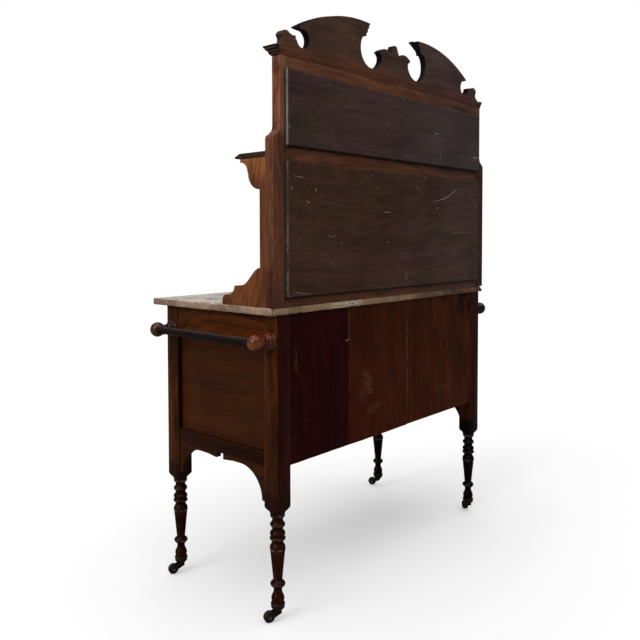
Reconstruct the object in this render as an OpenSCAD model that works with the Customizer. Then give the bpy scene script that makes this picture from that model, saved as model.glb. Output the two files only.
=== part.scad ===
// Washstand with a marble top, a tiled splash back with a small shelf, two drawers over a
// two-door cupboard, a towel rail at each end and turned legs on casters.
// Millimetres. X is the width, -Y is the front, +Z is up. The origin is on the floor,
// under the centre of the whole stand.

/* [Case] */
// Width over the corner posts
case_w = 966; // [840:2:1200]
// Depth over the corner posts
case_d = 418; // [360:2:520]
// Height of the marble's top face above the floor
stand_h = 760; // [740:1:840]
// Height of the lower edge of the case above the floor
case_bottom_z = 376; // [366:1:392]
// Side of a square corner post
post_side = 45; // [42:1:52]
// How far the rails lie behind the faces of the posts
rail_setback = 1.5; // [0.5:0.5:3]
// Thickness of the side rails
rail_t = 24; // [22:1:30]
// Height of a side's top rail
side_top_h = 72; // [50:1:90]
// Height of the bottom rails, at the front, back and sides
bottom_rail_h = 34; // [28:1:44]
// How far a side panel lies behind the face of the posts
panel_recess = 14; // [11:1:15]
// Thickness of the side and door panels
panel_t = 8; // [6:0.5:9]
// Depth of the grooves that hold the panels
groove_d = 6; // [4:1:8]
// Thickness of the boards that close the back
back_board_t = 10; // [8:1:14]
// Gap between two back boards
back_board_gap = 0.6; // [0.4:0.2:2]
// How far the back boards lie behind the rear faces of the posts
back_board_setback = 2; // [1:0.5:5]
// Thickness of the two inner rails that the back boards are nailed to
inner_rail_t = 20; // [14:1:26]
// Thickness of the cupboard floor
floor_t = 12; // [8:1:16]

/* [Legs] */
// Height where the square post ends and the turning begins
turning_top_z = 265; // [258:1:272]
// Height of the turned shoulder that rounds the post's corners off
shoulder_h = 17; // [12:1:22]
// Radius of the ring right under the square post
ring_r = 18; // [16:0.5:20]
// Height of that ring
ring_h = 13; // [9:1:16]
// Radius of the single bead
bead_r = 18.4; // [16:0.2:20]
// Height of the single bead
bead_h = 15; // [11:1:18]
// Radius of the double bead
double_bead_r = 19.4; // [17:0.2:20.6]
// Height of one half of the double bead
double_bead_h = 12; // [9:1:14]
// Radius of the thin necks in the upper part of the leg
upper_neck_r = 13; // [11:0.5:14]
// Height of such a neck
upper_neck_h = 8; // [6:1:10]
// Radius of the taper at its top
taper_top_r = 19; // [17:0.5:20.5]
// Height of the rounded crown above the taper
crown_h = 18; // [12:1:22]
// Radius of the taper at its foot
taper_foot_r = 11; // [9:0.5:13]
// Radius of the bead under the taper
ankle_bead_r = 18.4; // [16:0.2:20]
// Height of the bead under the taper
ankle_bead_h = 19; // [14:1:24]
// Radius of the neck above the foot
ankle_neck_r = 10.3; // [8.5:0.1:12]
// Height of the neck above the foot
ankle_neck_h = 7; // [4:1:10]
// Radius of the vase-shaped foot
vase_r = 16; // [14.6:0.2:18]
// Height of the vase-shaped foot
vase_h = 30; // [24:1:36]
// Radius of the leg's end inside the caster's cup
foot_r = 14.4; // [12:0.2:14.6]
// Depth of the two fine rings cut into the taper
ring_cut = 0.8; // [0.4:0.1:1.2]

/* [Casters] */
// Radius of a caster wheel
wheel_r = 13.5; // [12:0.25:14.5]
// Width of a caster wheel
wheel_w = 12; // [9:0.5:15]
// Distance from the swivel axis to the wheel's axle
caster_trail = 22.5; // [21:0.5:26]
// Height of the leg's end above the floor
caster_h = 32; // [31:0.5:36]
// Radius of an axle
axle_r = 2.5; // [2:0.25:3]
// Radius of the pintle that a caster swivels on
pintle_r = 4; // [3:0.5:5]
// Thickness of a fork cheek
cheek_t = 2.5; // [2:0.25:4]
// Space between the wheel and each cheek
cheek_gap = 0.6; // [0.4:0.1:1.5]
// Thickness of the cup around the foot of the leg
cup_wall = 2.2; // [1.5:0.1:3]
// Height of the cup around the foot of the leg
cup_h = 13; // [9:1:16]
// Thickness of the cup's bottom
cup_floor_t = 2.6; // [2:0.2:4]
// Headings of the wheels: rear right, front right, rear left, front left
caster_headings = [-27, -22, -125, -70];

/* [Marble] */
// Thickness of the marble slab
marble_t = 18; // [15:1:25]
// How far the slab stands out over each side
marble_over_side = 20; // [18:1:30]
// How far the slab stands out at the front
marble_over_front = 40; // [34:1:50]
// How far the slab stands out at the back
marble_over_back = 4; // [2:1:12]
// Radius of the slab's two front corners
marble_corner_r = 8; // [4:1:14]

/* [Side brackets] */
// Thickness of a bracket
bracket_t = 16; // [12:1:20]
// How far a bracket lies behind the face of the posts
bracket_setback = 3; // [2:0.5:6]
// Height of a bracket at the post
bracket_drop = 86; // [80:1:92]
// Least height of a bracket, at the top of its arch
bracket_thin = 11; // [8:1:16]
// Radius of the arch
arch_r = 75; // [66:1:78]
// Width of a bracket's foot beside the post
bracket_foot = 11; // [8:1:16]
// Gap between the two brackets of a side
bracket_gap = 24; // [10:1:40]
// Extra height of a bracket's inner end
bracket_nib = 4; // [1:1:8]

/* [Drawers] */
// Height of the rail over the drawers
front_top_h = 22; // [18:1:30]
// Height of the drawer opening
drawer_open_h = 90; // [76:1:104]
// Height of the rail between drawers and doors
drawer_rail_h = 22; // [18:1:30]
// Depth, front to back, of the two upper front rails
front_rail_d = 56; // [40:1:70]
// Width of the upright between the drawers
muntin_w = 30; // [24:1:40]
// Thickness of a drawer front
drawer_front_t = 18; // [16:1:22]
// Gap around a drawer front
drawer_gap = 1; // [0.6:0.1:2]
// Thickness of drawer sides and backs
drawer_side_t = 10; // [8:1:12]
// Space behind a closed drawer
drawer_back_gap = 47; // [20:1:110]
// Thickness of a drawer's bottom
drawer_bottom_t = 6; // [4:0.5:8]
// Height of a drawer's bottom above the lower edge of its sides
drawer_bottom_up = 8; // [6:1:12]
// How much lower the drawer sides are than the drawer front
drawer_side_low = 8; // [4:1:14]
// Width of the runners and of the battens over the drawers
runner_w = 30; // [24:1:36]
// Thickness of the runners
runner_t = 14; // [10:1:20]
// Height of the guide between the two drawers
guide_h = 24; // [12:1:40]

/* [Doors] */
// Thickness of a door
door_t = 20; // [18:1:24]
// Width of the stiles and rails of a door
door_frame_w = 48; // [40:1:60]
// Gap between a door and its opening
door_gap = 1.5; // [1.2:0.1:2.5]
// Gap between the two doors
door_mid_gap = 2; // [1.5:0.1:4]
// How far the doors and drawers lie behind the faces of the posts
front_setback = 0.5; // [0.5:0.5:3]
// Width of the slope around a door panel's raised field
field_slope = 16; // [8:1:26]
// Height of a door panel's raised field
field_rise = 4; // [2:0.5:6]

/* [Knobs] */
// Radius of a knob's head
knob_r = 16; // [12:0.5:20]
// How far a knob stands out
knob_out = 27; // [22:1:30]
// Radius of a knob's neck
knob_neck_r = 8; // [6:0.5:10]
// Radius of the spigot that holds a knob
knob_spigot_r = 5; // [4:0.5:6]
// Length of that spigot
knob_spigot = 14; // [10:1:15]

/* [Hinges] */
// Height of a hinge
hinge_h = 50; // [40:1:56]
// Place of a hinge's middle, as a share of the door's height
hinge_place = 0.24; // [0.2:0.01:0.3]
// Radius of a hinge's barrel
barrel_r = 3; // [2.6:0.1:4]
// Radius of a hinge pin
hinge_pin_r = 1.4; // [1:0.1:1.7]
// Thickness of a hinge leaf
leaf_t = 1.2; // [1:0.1:1.5]
// How far a leaf stands out of its recess
leaf_proud = 0.3; // [0.2:0.05:0.4]
// Width of a leaf behind the door's face
leaf_w = 17; // [12:1:18]

/* [Towel rails] */
// How far the towel rails lie below the marble's top face
towel_drop = 79; // [60:1:86]
// Distance from the post's face to the centre of a ball
ball_out = 49; // [42:1:64]
// Radius of a ball
ball_r = 19.5; // [18:0.5:24]
// Radius of a rod
rod_r = 10; // [8:0.5:12]
// Radius of the collar at each end of a rod
collar_r = 13; // [11:0.5:15]
// Width of that collar
collar_w = 6; // [4:1:10]
// Radius of the flange against the post
flange_r = 21.5; // [17:0.5:22]
// Radius of the arm between flange and ball
arm_r = 11; // [9:0.5:13]
// Radius of the arm's spigot in the post and of the rod's spigots in the balls
spigot_r = 7; // [5:0.5:8]
// Length of an arm's spigot in the post
spigot_len = 18; // [12:1:20]
// Length of a rod's spigots in the balls
rod_spigot = 12; // [8:1:14]

/* [Splash back] */
// Number of tiles in a row, which sets their size
tile_columns = 6; // [5:1:7]
// Thickness of a tile
tile_t = 9; // [7:0.5:11]
// Gap beside a tile
tile_gap = 0.4; // [0.2:0.1:1]
// Thickness of the frame around the tiles
frame_t = 25; // [21:1:30]
// Height of the frame's bottom rail
splash_bottom_h = 32; // [24:1:44]
// Height of the frame's middle rail
splash_mid_h = 60; // [52:1:76]
// Height of the frame's top rail
splash_top_h = 44; // [36:1:60]
// How far the frame stands in from the marble's ends
splash_inset = 4; // [0:1:12]
// Width of the frame's stiles below the step
stile_w = 48.6; // [44:0.2:60]
// How far the frame steps in above the shelf
step_in = 24; // [18:1:28]
// Height of the middle of the step above the middle rail
step_up = 19; // [10:1:50]
// Height of the step's curve
step_h = 38; // [30:1:44]
// Width of the lip that holds the tiles
lip_w = 4; // [2:0.5:6]
// Thickness of the lip that holds the tiles
lip_t = 6; // [4:0.5:8]
// Thickness of the backing boards
backing_t = 9; // [6:0.5:12]
// Chamfer along the backing boards' rear edges
backing_chamfer = 2.5; // [1:0.5:4]
// How far the backing boards lap the frame at the sides
backing_lap_side = 8; // [4:1:16]
// How far the lower backing board laps the rails
backing_lap_low = 12; // [6:1:14]
// How far the upper backing board laps the rails
backing_lap_up = 16; // [8:1:20]
// Radius of the dowels that hold the splash back
dowel_r = 4; // [3:0.5:6]
// Length of a dowel above and below the marble
dowel_len = 26; // [16:1:30]

/* [Shelf and wings] */
// Thickness of the wings
wing_t = 19; // [14:1:24]
// Height of a wing's stepped foot
wing_foot_h = 50; // [40:1:60]
// Height at which a wing's waist begins
waist_z = 94; // [80:1:110]
// Height of a wing's curve under the shelf
wing_top_h = 74; // [64:1:96]
// Depth of a wing at its waist
waist_d = 19; // [14:1:34]
// Depth of a wing at its foot
wing_foot_d = 152; // [124:1:174]
// Depth of a wing under the shelf
wing_top_d = 85; // [68:1:92]
// Depth of the shelf
shelf_d = 105; // [98:1:134]
// Thickness of the shelf
shelf_t = 14; // [11:1:18]
// Width of the bevel along the shelf's front edge
shelf_bevel = 18; // [10:1:26]
// Height of the shelf's underside above the lower edge of the middle rail
shelf_up = 19; // [8:1:30]

/* [Cornice and pediment] */
// How far the cornice stands out
cornice_out = 15; // [10:1:22]
// Height of the cornice
cornice_h = 22; // [18:1:26]
// Thickness of the pediment, which is flush with the front of the frame
pediment_t = 18; // [11:1:20]
// Height of the pediment's solid part
pediment_base_h = 24; // [18:1:28]
// Height of the crest of an arch above the pediment's lower edge
crest_h = 150; // [140:1:165]
// How much lower an arch is at its outer end
crest_drop = 68; // [56:1:76]
// Distance of the crest from the middle
crest_x = 150; // [140:1:160]
// Distance of an arch's inner end from the middle
crest_in_x = 115; // [112:1:124]
// How far an arch's inner end falls back between its crest and the opening
arch_lean = 18; // [14:1:22]
// Distance of an arch's outer end from the pediment's end
crest_out_in = 79; // [72:1:86]
// Radius of the round opening beside the leaf
eye_r = 49; // [44:0.5:52]
// Distance of that opening from the middle
eye_x = 109; // [106:1:114]
// Height of its centre
eye_z = 80; // [76:1:84]
// Radius of the round notch outside an arch
notch_r = 23; // [18:0.5:25]
// Distance of the notch from the pediment's end
notch_in = 89; // [86:1:94]
// Height of its centre
notch_z = 54; // [50:1:58]
// Half width of the leaf in the middle of the pediment
lobe_reach = 77.5; // [70:0.5:84]
// Height of its side lobes above the openings' centres
lobe_h = 15; // [10:0.5:20]
// Height of its top above the openings' centres
top_lobe_h = 32.5; // [26:0.5:40]
// Radius of an ear
ear_r = 18.5; // [14:0.5:20]
// Distance of an ear from the pediment's end
ear_in = 30; // [28:1:36]
// Height of an ear's centre
ear_z = 45; // [40:1:48]
// Radius of the hollow that makes an ear's neck
ear_hollow_r = 12; // [8:0.5:14]
// How far the arch mouldings stand out
moulding_out = 14; // [8:1:20]
// Height of an arch moulding
moulding_h = 24; // [16:1:30]
// How far an arch moulding stands above its arch
moulding_up = 3; // [1:0.5:8]
// How far an arch moulding runs past the outer end of its arch
moulding_end = 6; // [0:1:10]

/* [Fits] */
// Radial clearance of a pin that turns
run_gap = 0.05; // [0.03:0.01:0.08]
// Gap between pieces that slide or swing past each other
slide_gap = 0.3; // [0.2:0.05:0.5]
// Clearance of a glued or loose joint
fit_gap = 0.1; // [0.05:0.05:0.3]

/* [Hidden] */

// Number of facets shown on a full turn
$fn = 64;
// The same for the large circle that the crest follows
crest_fn = 256;
// Added to a cutter so that it leaves no skin
over = 1;

// The case
case_cy = (marble_over_front - marble_over_back - backing_t) / 2;
front_y = case_cy - case_d / 2;
back_y = case_cy + case_d / 2;
case_top_z = stand_h - marble_t;
towel_z = stand_h - towel_drop;
inner_x = case_w / 2 - post_side;
inner_front_y = front_y + post_side;
inner_back_y = back_y - post_side;
post_x = case_w / 2 - post_side / 2;
post_front_y = front_y + post_side / 2;
post_rear_y = back_y - post_side / 2;
bottom_rail_top_z = case_bottom_z + bottom_rail_h;
side_rail_x = case_w / 2 - rail_setback - rail_t;
panel_x = case_w / 2 - panel_recess - panel_t;
board_front_y = back_y - back_board_setback - back_board_t;
inner_rail_y = board_front_y - inner_rail_t;

// The openings of the front
drawer_top_z = case_top_z - front_top_h;
drawer_bottom_z = drawer_top_z - drawer_open_h;
door_top_z = drawer_bottom_z - drawer_rail_h;
face_y = front_y + front_setback;
door_w = inner_x - door_gap - door_mid_gap / 2;
door_h = door_top_z - bottom_rail_top_z - 2 * door_gap;
door_z = bottom_rail_top_z + door_gap;
drawer_w = inner_x - muntin_w / 2 - 2 * drawer_gap;
drawer_x = muntin_w / 2 + drawer_gap;
drawer_front_h = drawer_open_h - 2 * drawer_gap;

// The hinges
hinge_x = inner_x - door_gap / 2;
hinge_y = face_y - barrel_r - 0.5;
leaf_recess = leaf_t - leaf_proud;
hinge_zs = [for (share = [hinge_place, 1 - hinge_place]) door_z + door_h * share - hinge_h / 2];

// The splash back
splash_back_y = back_y + marble_over_back;
frame_front_y = splash_back_y - frame_t;
splash_half_w = case_w / 2 + marble_over_side - splash_inset;
open_half_w = splash_half_w - stile_w;
tile = 2 * (open_half_w - tile_gap) / tile_columns;
low_open_z = stand_h + splash_bottom_h;
low_open_h = 2 * tile + 2 * tile_gap;
up_open_z = low_open_z + low_open_h + splash_mid_h;
up_open_h = tile + 2 * tile_gap;
frame_top_z = up_open_z + up_open_h + splash_top_h;
upper_half_w = splash_half_w - step_in;
shelf_z = low_open_z + low_open_h + shelf_up;
step_z = up_open_z + step_up;
dowel_x = (open_half_w + case_w / 2) / 2;
dowel_y = (frame_front_y + back_y) / 2;

// Both halves of a symmetrical pair
module both() {
  children();
  mirror([1, 0, 0]) children();
}

// A block from its lowest to its highest corner
module block(low, high) {
  translate(low) cube(high - low);
}

// An outline drawn in X and Z, made thick from y to y + t
module upright(y, t) {
  translate([0, y + t, 0]) rotate([90, 0, 0]) linear_extrude(t) children();
}

// An outline drawn in Y and Z, made thick from x to x + t
module sideways(x, t) {
  translate([x, 0, 0]) rotate([90, 0, 90]) linear_extrude(t) children();
}

// Points of a turned bead, or of a cove where r1 is under r0
function bead(z, h, r0, r1, n = 10) =
  [for (i = [0:n]) [r0 + (r1 - r0) * sin(180 * i / n), z + h * i / n]];

// Points of a smooth rise or fall from one radius to another
function ogee(z, h, r0, r1, n = 8) =
  [for (i = [0:n]) [r0 + (r1 - r0) * (1 - cos(180 * i / n)) / 2, z + h * i / n]];

// ---- Posts ----

// Outline of the turned leg, from its foot to the square post
function leg_outline() =
  let(
    cup_top = caster_h + cup_h,
    neck_z = cup_top + vase_h,
    ankle_z = neck_z + ankle_neck_h,
    taper_z = ankle_z + ankle_bead_h,
    ring_z = turning_top_z - ring_h,
    single_z = ring_z - upper_neck_h - bead_h,
    double_z = single_z - upper_neck_h - 2 * double_bead_h,
    crown_z = double_z - crown_h
  )
  concat(
    [[0, caster_h], [foot_r, caster_h], [foot_r, cup_top]],
    ogee(cup_top + 1, vase_h * 0.35, foot_r, vase_r),
    ogee(cup_top + vase_h * 0.4, vase_h * 0.6, vase_r, ankle_neck_r),
    [[ankle_neck_r, ankle_z], [ankle_neck_r + 1.5, ankle_z]],
    bead(ankle_z + 1, ankle_bead_h - 2, ankle_neck_r + 1.5, ankle_bead_r),
    [[taper_foot_r, taper_z]],
    [[taper_top_r - 1, crown_z - 6], [taper_top_r - 1 - ring_cut, crown_z - 5]],
    [[taper_top_r, crown_z - 4], [taper_top_r, crown_z - 1]],
    [[taper_top_r - ring_cut, crown_z], [taper_top_r, crown_z + 1]],
    ogee(crown_z + 2, crown_h - 3, taper_top_r, upper_neck_r),
    bead(double_z, double_bead_h, upper_neck_r + 2, double_bead_r),
    bead(double_z + double_bead_h, double_bead_h, upper_neck_r + 3, double_bead_r - 0.6),
    bead(single_z - upper_neck_h, upper_neck_h, upper_neck_r + 1, upper_neck_r),
    bead(single_z, bead_h, upper_neck_r + 1, bead_r),
    bead(ring_z - upper_neck_h, upper_neck_h, upper_neck_r + 1, upper_neck_r),
    ogee(ring_z, ring_h * 0.4, upper_neck_r + 1, ring_r),
    [[ring_r, turning_top_z], [0, turning_top_z]]
  );

// Outline that rounds off the square post's lower end
function shoulder_outline() =
  let(corner_r = post_side * 0.72)
  concat(
    [[0, turning_top_z], [ring_r, turning_top_z]],
    ogee(turning_top_z + 0.5, shoulder_h, ring_r + 1, corner_r),
    [[corner_r, case_top_z], [0, case_top_z]]
  );

// A post on its own axis, before it gets its grooves and holes
module bare_post() {
  rotate_extrude() polygon(leg_outline());
  intersection() {
    block([-post_side / 2, -post_side / 2, turning_top_z], [post_side / 2, post_side / 2, case_top_z]);
    rotate_extrude() polygon(shoulder_outline());
  }
}

// The recess in a leg's end for the riveted head of the caster's pintle
module pintle_recess() {
  translate([0, 0, caster_h - over]) cylinder(r = pintle_r + 3, h = over + 4);
}

// The groove for a side panel, cut in a post or a rail of the right side
module panel_groove() {
  block(
    [panel_x - fit_gap, inner_front_y - groove_d - fit_gap, bottom_rail_top_z - groove_d - fit_gap],
    [panel_x + panel_t + fit_gap, inner_back_y + groove_d + fit_gap,
     case_top_z - side_top_h + groove_d + fit_gap]
  );
}

// The hole in a post's side for the towel arm
module arm_hole(y) {
  translate([case_w / 2 - spigot_len - fit_gap, y, towel_z])
    rotate([0, 90, 0]) cylinder(r = spigot_r + fit_gap, h = spigot_len + over);
}

// The recesses for the hinge leaves in the inner face of a front post
module leaf_recesses() {
  for (z = hinge_zs)
    block([inner_x - over, front_y - over, z - fit_gap],
          [inner_x + leaf_recess + fit_gap, face_y + leaf_w + fit_gap, z + hinge_h + fit_gap]);
}

// The hole through marble, post and frame for a dowel
module dowel_hole() {
  translate([dowel_x, dowel_y, case_top_z - dowel_len - fit_gap])
    cylinder(r = dowel_r + fit_gap, h = 2 * (dowel_len + fit_gap) + marble_t);
}

module front_post() {
  color("#4a2415") difference() {
    translate([post_x, post_front_y, 0]) bare_post();
    translate([post_x, post_front_y, 0]) pintle_recess();
    panel_groove();
    arm_hole(post_front_y);
    leaf_recesses();
  }
}

module rear_post() {
  color("#4a2415") difference() {
    translate([post_x, post_rear_y, 0]) bare_post();
    translate([post_x, post_rear_y, 0]) pintle_recess();
    panel_groove();
    arm_hole(post_rear_y);
    dowel_hole();
  }
}

// ---- Sides and back of the case ----

module side_top_rails() {
  color("#5a2f17") both() difference() {
    block([side_rail_x, inner_front_y, case_top_z - side_top_h],
          [side_rail_x + rail_t, inner_back_y, case_top_z]);
    panel_groove();
  }
}

module side_bottom_rails() {
  color("#50291a") both() difference() {
    block([side_rail_x, inner_front_y, case_bottom_z],
          [side_rail_x + rail_t, inner_back_y, bottom_rail_top_z]);
    panel_groove();
  }
}

module side_panels() {
  color("#3b2216") both()
    block([panel_x, inner_front_y - groove_d, bottom_rail_top_z - groove_d],
          [panel_x + panel_t, inner_back_y + groove_d, case_top_z - side_top_h + groove_d]);
}

// The rear bracket of the right side, drawn from the middle of the side
module bracket_outline() {
  end_y = inner_back_y - case_cy;
  arch_y = end_y - bracket_foot - arch_r;
  arch_z = case_bottom_z - bracket_thin - arch_r;
  nib_z = case_bottom_z - bracket_thin - bracket_nib;
  difference() {
    translate([bracket_gap / 2, case_bottom_z - bracket_drop])
      square([end_y - bracket_gap / 2, bracket_drop]);
    translate([arch_y, arch_z]) circle(arch_r);
    translate([arch_y - arch_r, arch_z - arch_r]) square([2 * arch_r, arch_r]);
    polygon([
      [-over, arch_z - arch_r], [arch_y, arch_z - arch_r],
      [arch_y, case_bottom_z - bracket_thin], [arch_y * 0.6, case_bottom_z - bracket_thin - 0.5],
      [bracket_gap / 2 + 6, nib_z], [-over, nib_z]
    ]);
  }
}

module side_brackets() {
  x = case_w / 2 - bracket_setback - bracket_t;
  color("#4a2617") both() translate([0, case_cy, 0]) {
    sideways(x, bracket_t) bracket_outline();
    mirror([0, 1, 0]) sideways(x, bracket_t) bracket_outline();
  }
}

module back_boards() {
  seams = [-inner_x, -inner_x / 7, inner_x / 2.1, inner_x];
  color("#3a1512") for (i = [0:2])
    block([seams[i] + back_board_gap / 2, board_front_y, case_bottom_z],
          [seams[i + 1] - back_board_gap / 2, board_front_y + back_board_t, case_top_z]);
}

module inner_back_rails() {
  color("#6b4527") {
    block([-inner_x, inner_rail_y, case_bottom_z], [inner_x, board_front_y, bottom_rail_top_z - floor_t]);
    block([-inner_x, inner_rail_y, case_top_z - bottom_rail_h], [inner_x, board_front_y, case_top_z]);
  }
}

// ---- Front of the case ----

module front_rails() {
  y = front_y + rail_setback;
  color("#54301c") {
    block([-inner_x, y, drawer_top_z], [inner_x, y + front_rail_d, case_top_z]);
    block([-inner_x, y, door_top_z], [inner_x, y + front_rail_d, drawer_bottom_z]);
    block([-inner_x, y, case_bottom_z], [inner_x, y + rail_t, bottom_rail_top_z]);
  }
}

module drawer_muntin() {
  y = front_y + rail_setback;
  color("#54301c")
    block([-muntin_w / 2, y, drawer_bottom_z], [muntin_w / 2, y + front_rail_d, drawer_top_z]);
}

// The floor, notched around the four posts
module cabinet_floor() {
  low_z = bottom_rail_top_z - floor_t;
  color("#6b4527") {
    block([-inner_x, front_y + rail_setback + rail_t, low_z], [inner_x, board_front_y, bottom_rail_top_z]);
    block([-side_rail_x, inner_front_y + fit_gap, low_z],
          [side_rail_x, inner_back_y - fit_gap, bottom_rail_top_z]);
  }
}

// The runners under the drawer sides, the battens over them and the guide between them
module drawer_bearers() {
  y = front_y + rail_setback + front_rail_d;
  half = (muntin_w + runner_w) / 2;
  color("#7a5230") {
    for (x = [[-inner_x, runner_w - inner_x], [-half, half], [inner_x - runner_w, inner_x]]) {
      block([x[0], y, drawer_bottom_z - runner_t], [x[1], inner_rail_y, drawer_bottom_z]);
      block([x[0], y, drawer_top_z], [x[1], inner_rail_y, case_top_z]);
    }
    block([-muntin_w / 2, y, drawer_bottom_z], [muntin_w / 2, inner_rail_y, drawer_bottom_z + guide_h]);
  }
}

// ---- Drawers: drawn on the right, mirrored for the left ----

knob_xs = [drawer_x + drawer_w * 0.24, drawer_x + drawer_w * 0.76];
drawer_mid_z = drawer_bottom_z + drawer_open_h / 2;
box_y = face_y + drawer_front_t;
drawer_len = inner_rail_y - drawer_back_gap - box_y;
box_low_z = drawer_bottom_z + slide_gap;
box_top_z = drawer_top_z - drawer_gap - drawer_side_low;
bottom_z = box_low_z + drawer_bottom_up;

// The hole for a knob's spigot
module knob_hole(x, z) {
  translate([x, face_y - over, z]) rotate([-90, 0, 0])
    cylinder(r = knob_spigot_r + fit_gap, h = knob_spigot + fit_gap + over);
}

// A turned knob, whose spigot goes back from the face
module knob(x, z) {
  translate([x, face_y, z]) rotate([90, 0, 0]) rotate_extrude() polygon(concat(
    [[0, -knob_spigot], [knob_spigot_r, -knob_spigot], [knob_spigot_r, 0]],
    [[knob_neck_r * 1.4, 0], [knob_neck_r * 1.4, knob_out * 0.09], [knob_neck_r, knob_out * 0.13]],
    ogee(knob_out * 0.15, knob_out * 0.28, knob_neck_r, knob_neck_r * 1.12, 4),
    [for (i = [0:10]) let(a = -60 + 15 * i)
      [knob_r * cos(a), knob_out * 0.7 + knob_out * 0.3 * sin(a)]],
    [[0, knob_out]]
  ));
}

// The groove for a drawer's bottom
module bottom_groove() {
  block([drawer_x + drawer_side_t / 2, box_y - groove_d, bottom_z - fit_gap],
        [drawer_x + drawer_w - drawer_side_t / 2, box_y + drawer_len + over,
         bottom_z + drawer_bottom_t + fit_gap]);
}

module drawer_front() {
  color("#5a3019") difference() {
    block([drawer_x, face_y, drawer_bottom_z + drawer_gap],
          [drawer_x + drawer_w, box_y, drawer_bottom_z + drawer_gap + drawer_front_h]);
    bottom_groove();
    for (x = knob_xs) knob_hole(x, drawer_mid_z);
  }
}

module drawer_box() {
  left = drawer_x;
  right = drawer_x + drawer_w;
  color("#9a7448") {
    for (x = [left, right - drawer_side_t]) difference() {
      block([x, box_y, box_low_z], [x + drawer_side_t, box_y + drawer_len, box_top_z]);
      bottom_groove();
    }
    block([left + drawer_side_t, box_y + drawer_len - drawer_side_t, bottom_z + drawer_bottom_t + fit_gap],
          [right - drawer_side_t, box_y + drawer_len, box_top_z]);
    block([left + drawer_side_t / 2 + fit_gap, box_y - groove_d + fit_gap, bottom_z],
          [right - drawer_side_t / 2 - fit_gap, box_y + drawer_len, bottom_z + drawer_bottom_t]);
  }
}

module drawer_knobs() {
  color("#3a1d12") for (x = knob_xs) knob(x, drawer_mid_z);
}

// ---- Doors: drawn on the right, mirrored for the left ----

door_in_x = door_mid_gap / 2;
door_out_x = door_in_x + door_w;
door_knob_x = door_in_x + door_frame_w / 2;
door_mid_z = door_z + door_h / 2;
door_panel_y = face_y + (door_t - panel_t) / 2;

module door_groove() {
  block([door_in_x + door_frame_w - groove_d - fit_gap, door_panel_y - fit_gap,
         door_z + door_frame_w - groove_d - fit_gap],
        [door_out_x - door_frame_w + groove_d + fit_gap, door_panel_y + panel_t + fit_gap,
         door_z + door_h - door_frame_w + groove_d + fit_gap]);
}

module door_frame() {
  in_x = door_in_x + door_frame_w;
  out_x = door_out_x - door_frame_w;
  top_z = door_z + door_h;
  color("#5a3019") difference() {
    union() {
      block([door_in_x, face_y, door_z], [in_x, face_y + door_t, top_z]);
      block([out_x, face_y, door_z], [door_out_x, face_y + door_t, top_z]);
      block([in_x, face_y, door_z], [out_x, face_y + door_t, door_z + door_frame_w]);
      block([in_x, face_y, top_z - door_frame_w], [out_x, face_y + door_t, top_z]);
    }
    door_groove();
    knob_hole(door_knob_x, door_mid_z);
    for (z = hinge_zs)
      block([door_out_x - leaf_recess - fit_gap, face_y - over, z - fit_gap],
            [door_out_x + over, face_y + leaf_w + fit_gap, z + hinge_h + fit_gap]);
  }
}

// A slab in X and Z whose face at y0 is smaller by slope, all round, than its face at y1
module tapered(low, high, y0, y1, slope) {
  skin = sign(y1 - y0) * 0.01;
  inset = [slope, slope];
  hull() {
    plate(low, high, y1 - skin, y1);
    plate(low + inset, high - inset, y0, y0 + skin);
  }
}

// A plate between its lowest and highest corner in X and Z, and between ya and yb
module plate(low, high, ya, yb) {
  block([low[0], min(ya, yb), low[1]], [high[0], max(ya, yb), high[1]]);
}

module door_panel() {
  low = [door_in_x + door_frame_w, door_z + door_frame_w];
  high = [door_out_x - door_frame_w, door_z + door_h - door_frame_w];
  groove = [groove_d, groove_d];
  margin = [4, 4];
  color("#43281a") {
    plate(low - groove, high + groove, door_panel_y, door_panel_y + panel_t);
    tapered(low + margin, high - margin, door_panel_y - field_rise, door_panel_y + over, field_slope);
  }
}

module door_knob() {
  color("#3a1d12") knob(door_knob_x, door_mid_z);
}

// The gap between two knuckles, and the height of one knuckle
knuckle_gap = 0.4;
knuckle_h = (hinge_h - 2 * knuckle_gap) / 3;

// The leaf on a door: its plate and the middle knuckle
module door_leaves() {
  color("#7d5d2c") for (z = hinge_zs) difference() {
    union() {
      block([door_out_x - leaf_recess, face_y - 0.1, z],
            [door_out_x + leaf_proud, face_y + leaf_w, z + hinge_h]);
      block([door_out_x - leaf_recess, hinge_y, z + knuckle_h + knuckle_gap],
            [door_out_x + leaf_proud, face_y, z + 2 * knuckle_h + knuckle_gap]);
      translate([hinge_x, hinge_y, z + knuckle_h + knuckle_gap]) cylinder(r = barrel_r, h = knuckle_h);
    }
    translate([hinge_x, hinge_y, z]) cylinder(r = hinge_pin_r + run_gap, h = hinge_h);
  }
}

// The leaf on a post: its plate and the outer two knuckles, with the pin as its own piece
module post_leaf(z) {
  difference() {
    union() {
      block([inner_x - leaf_proud, face_y - 0.1, z], [inner_x + leaf_recess, face_y + leaf_w, z + hinge_h]);
      for (low = [z, z + 2 * (knuckle_h + knuckle_gap)]) {
        block([inner_x - leaf_proud, hinge_y, low], [inner_x + leaf_recess, face_y, low + knuckle_h]);
        translate([hinge_x, hinge_y, low]) cylinder(r = barrel_r, h = knuckle_h);
      }
    }
    translate([hinge_x, hinge_y, z - over]) cylinder(r = hinge_pin_r + run_gap, h = hinge_h + 2 * over);
  }
}

module hinge_pin(z) {
  head_t = 1;
  translate([hinge_x, hinge_y, z - head_t]) {
    cylinder(r = hinge_pin_r, h = hinge_h + 2 * head_t);
    cylinder(r = hinge_pin_r + 1, h = head_t);
    translate([0, 0, hinge_h + head_t]) cylinder(r = hinge_pin_r + 1, h = head_t);
  }
}

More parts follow.
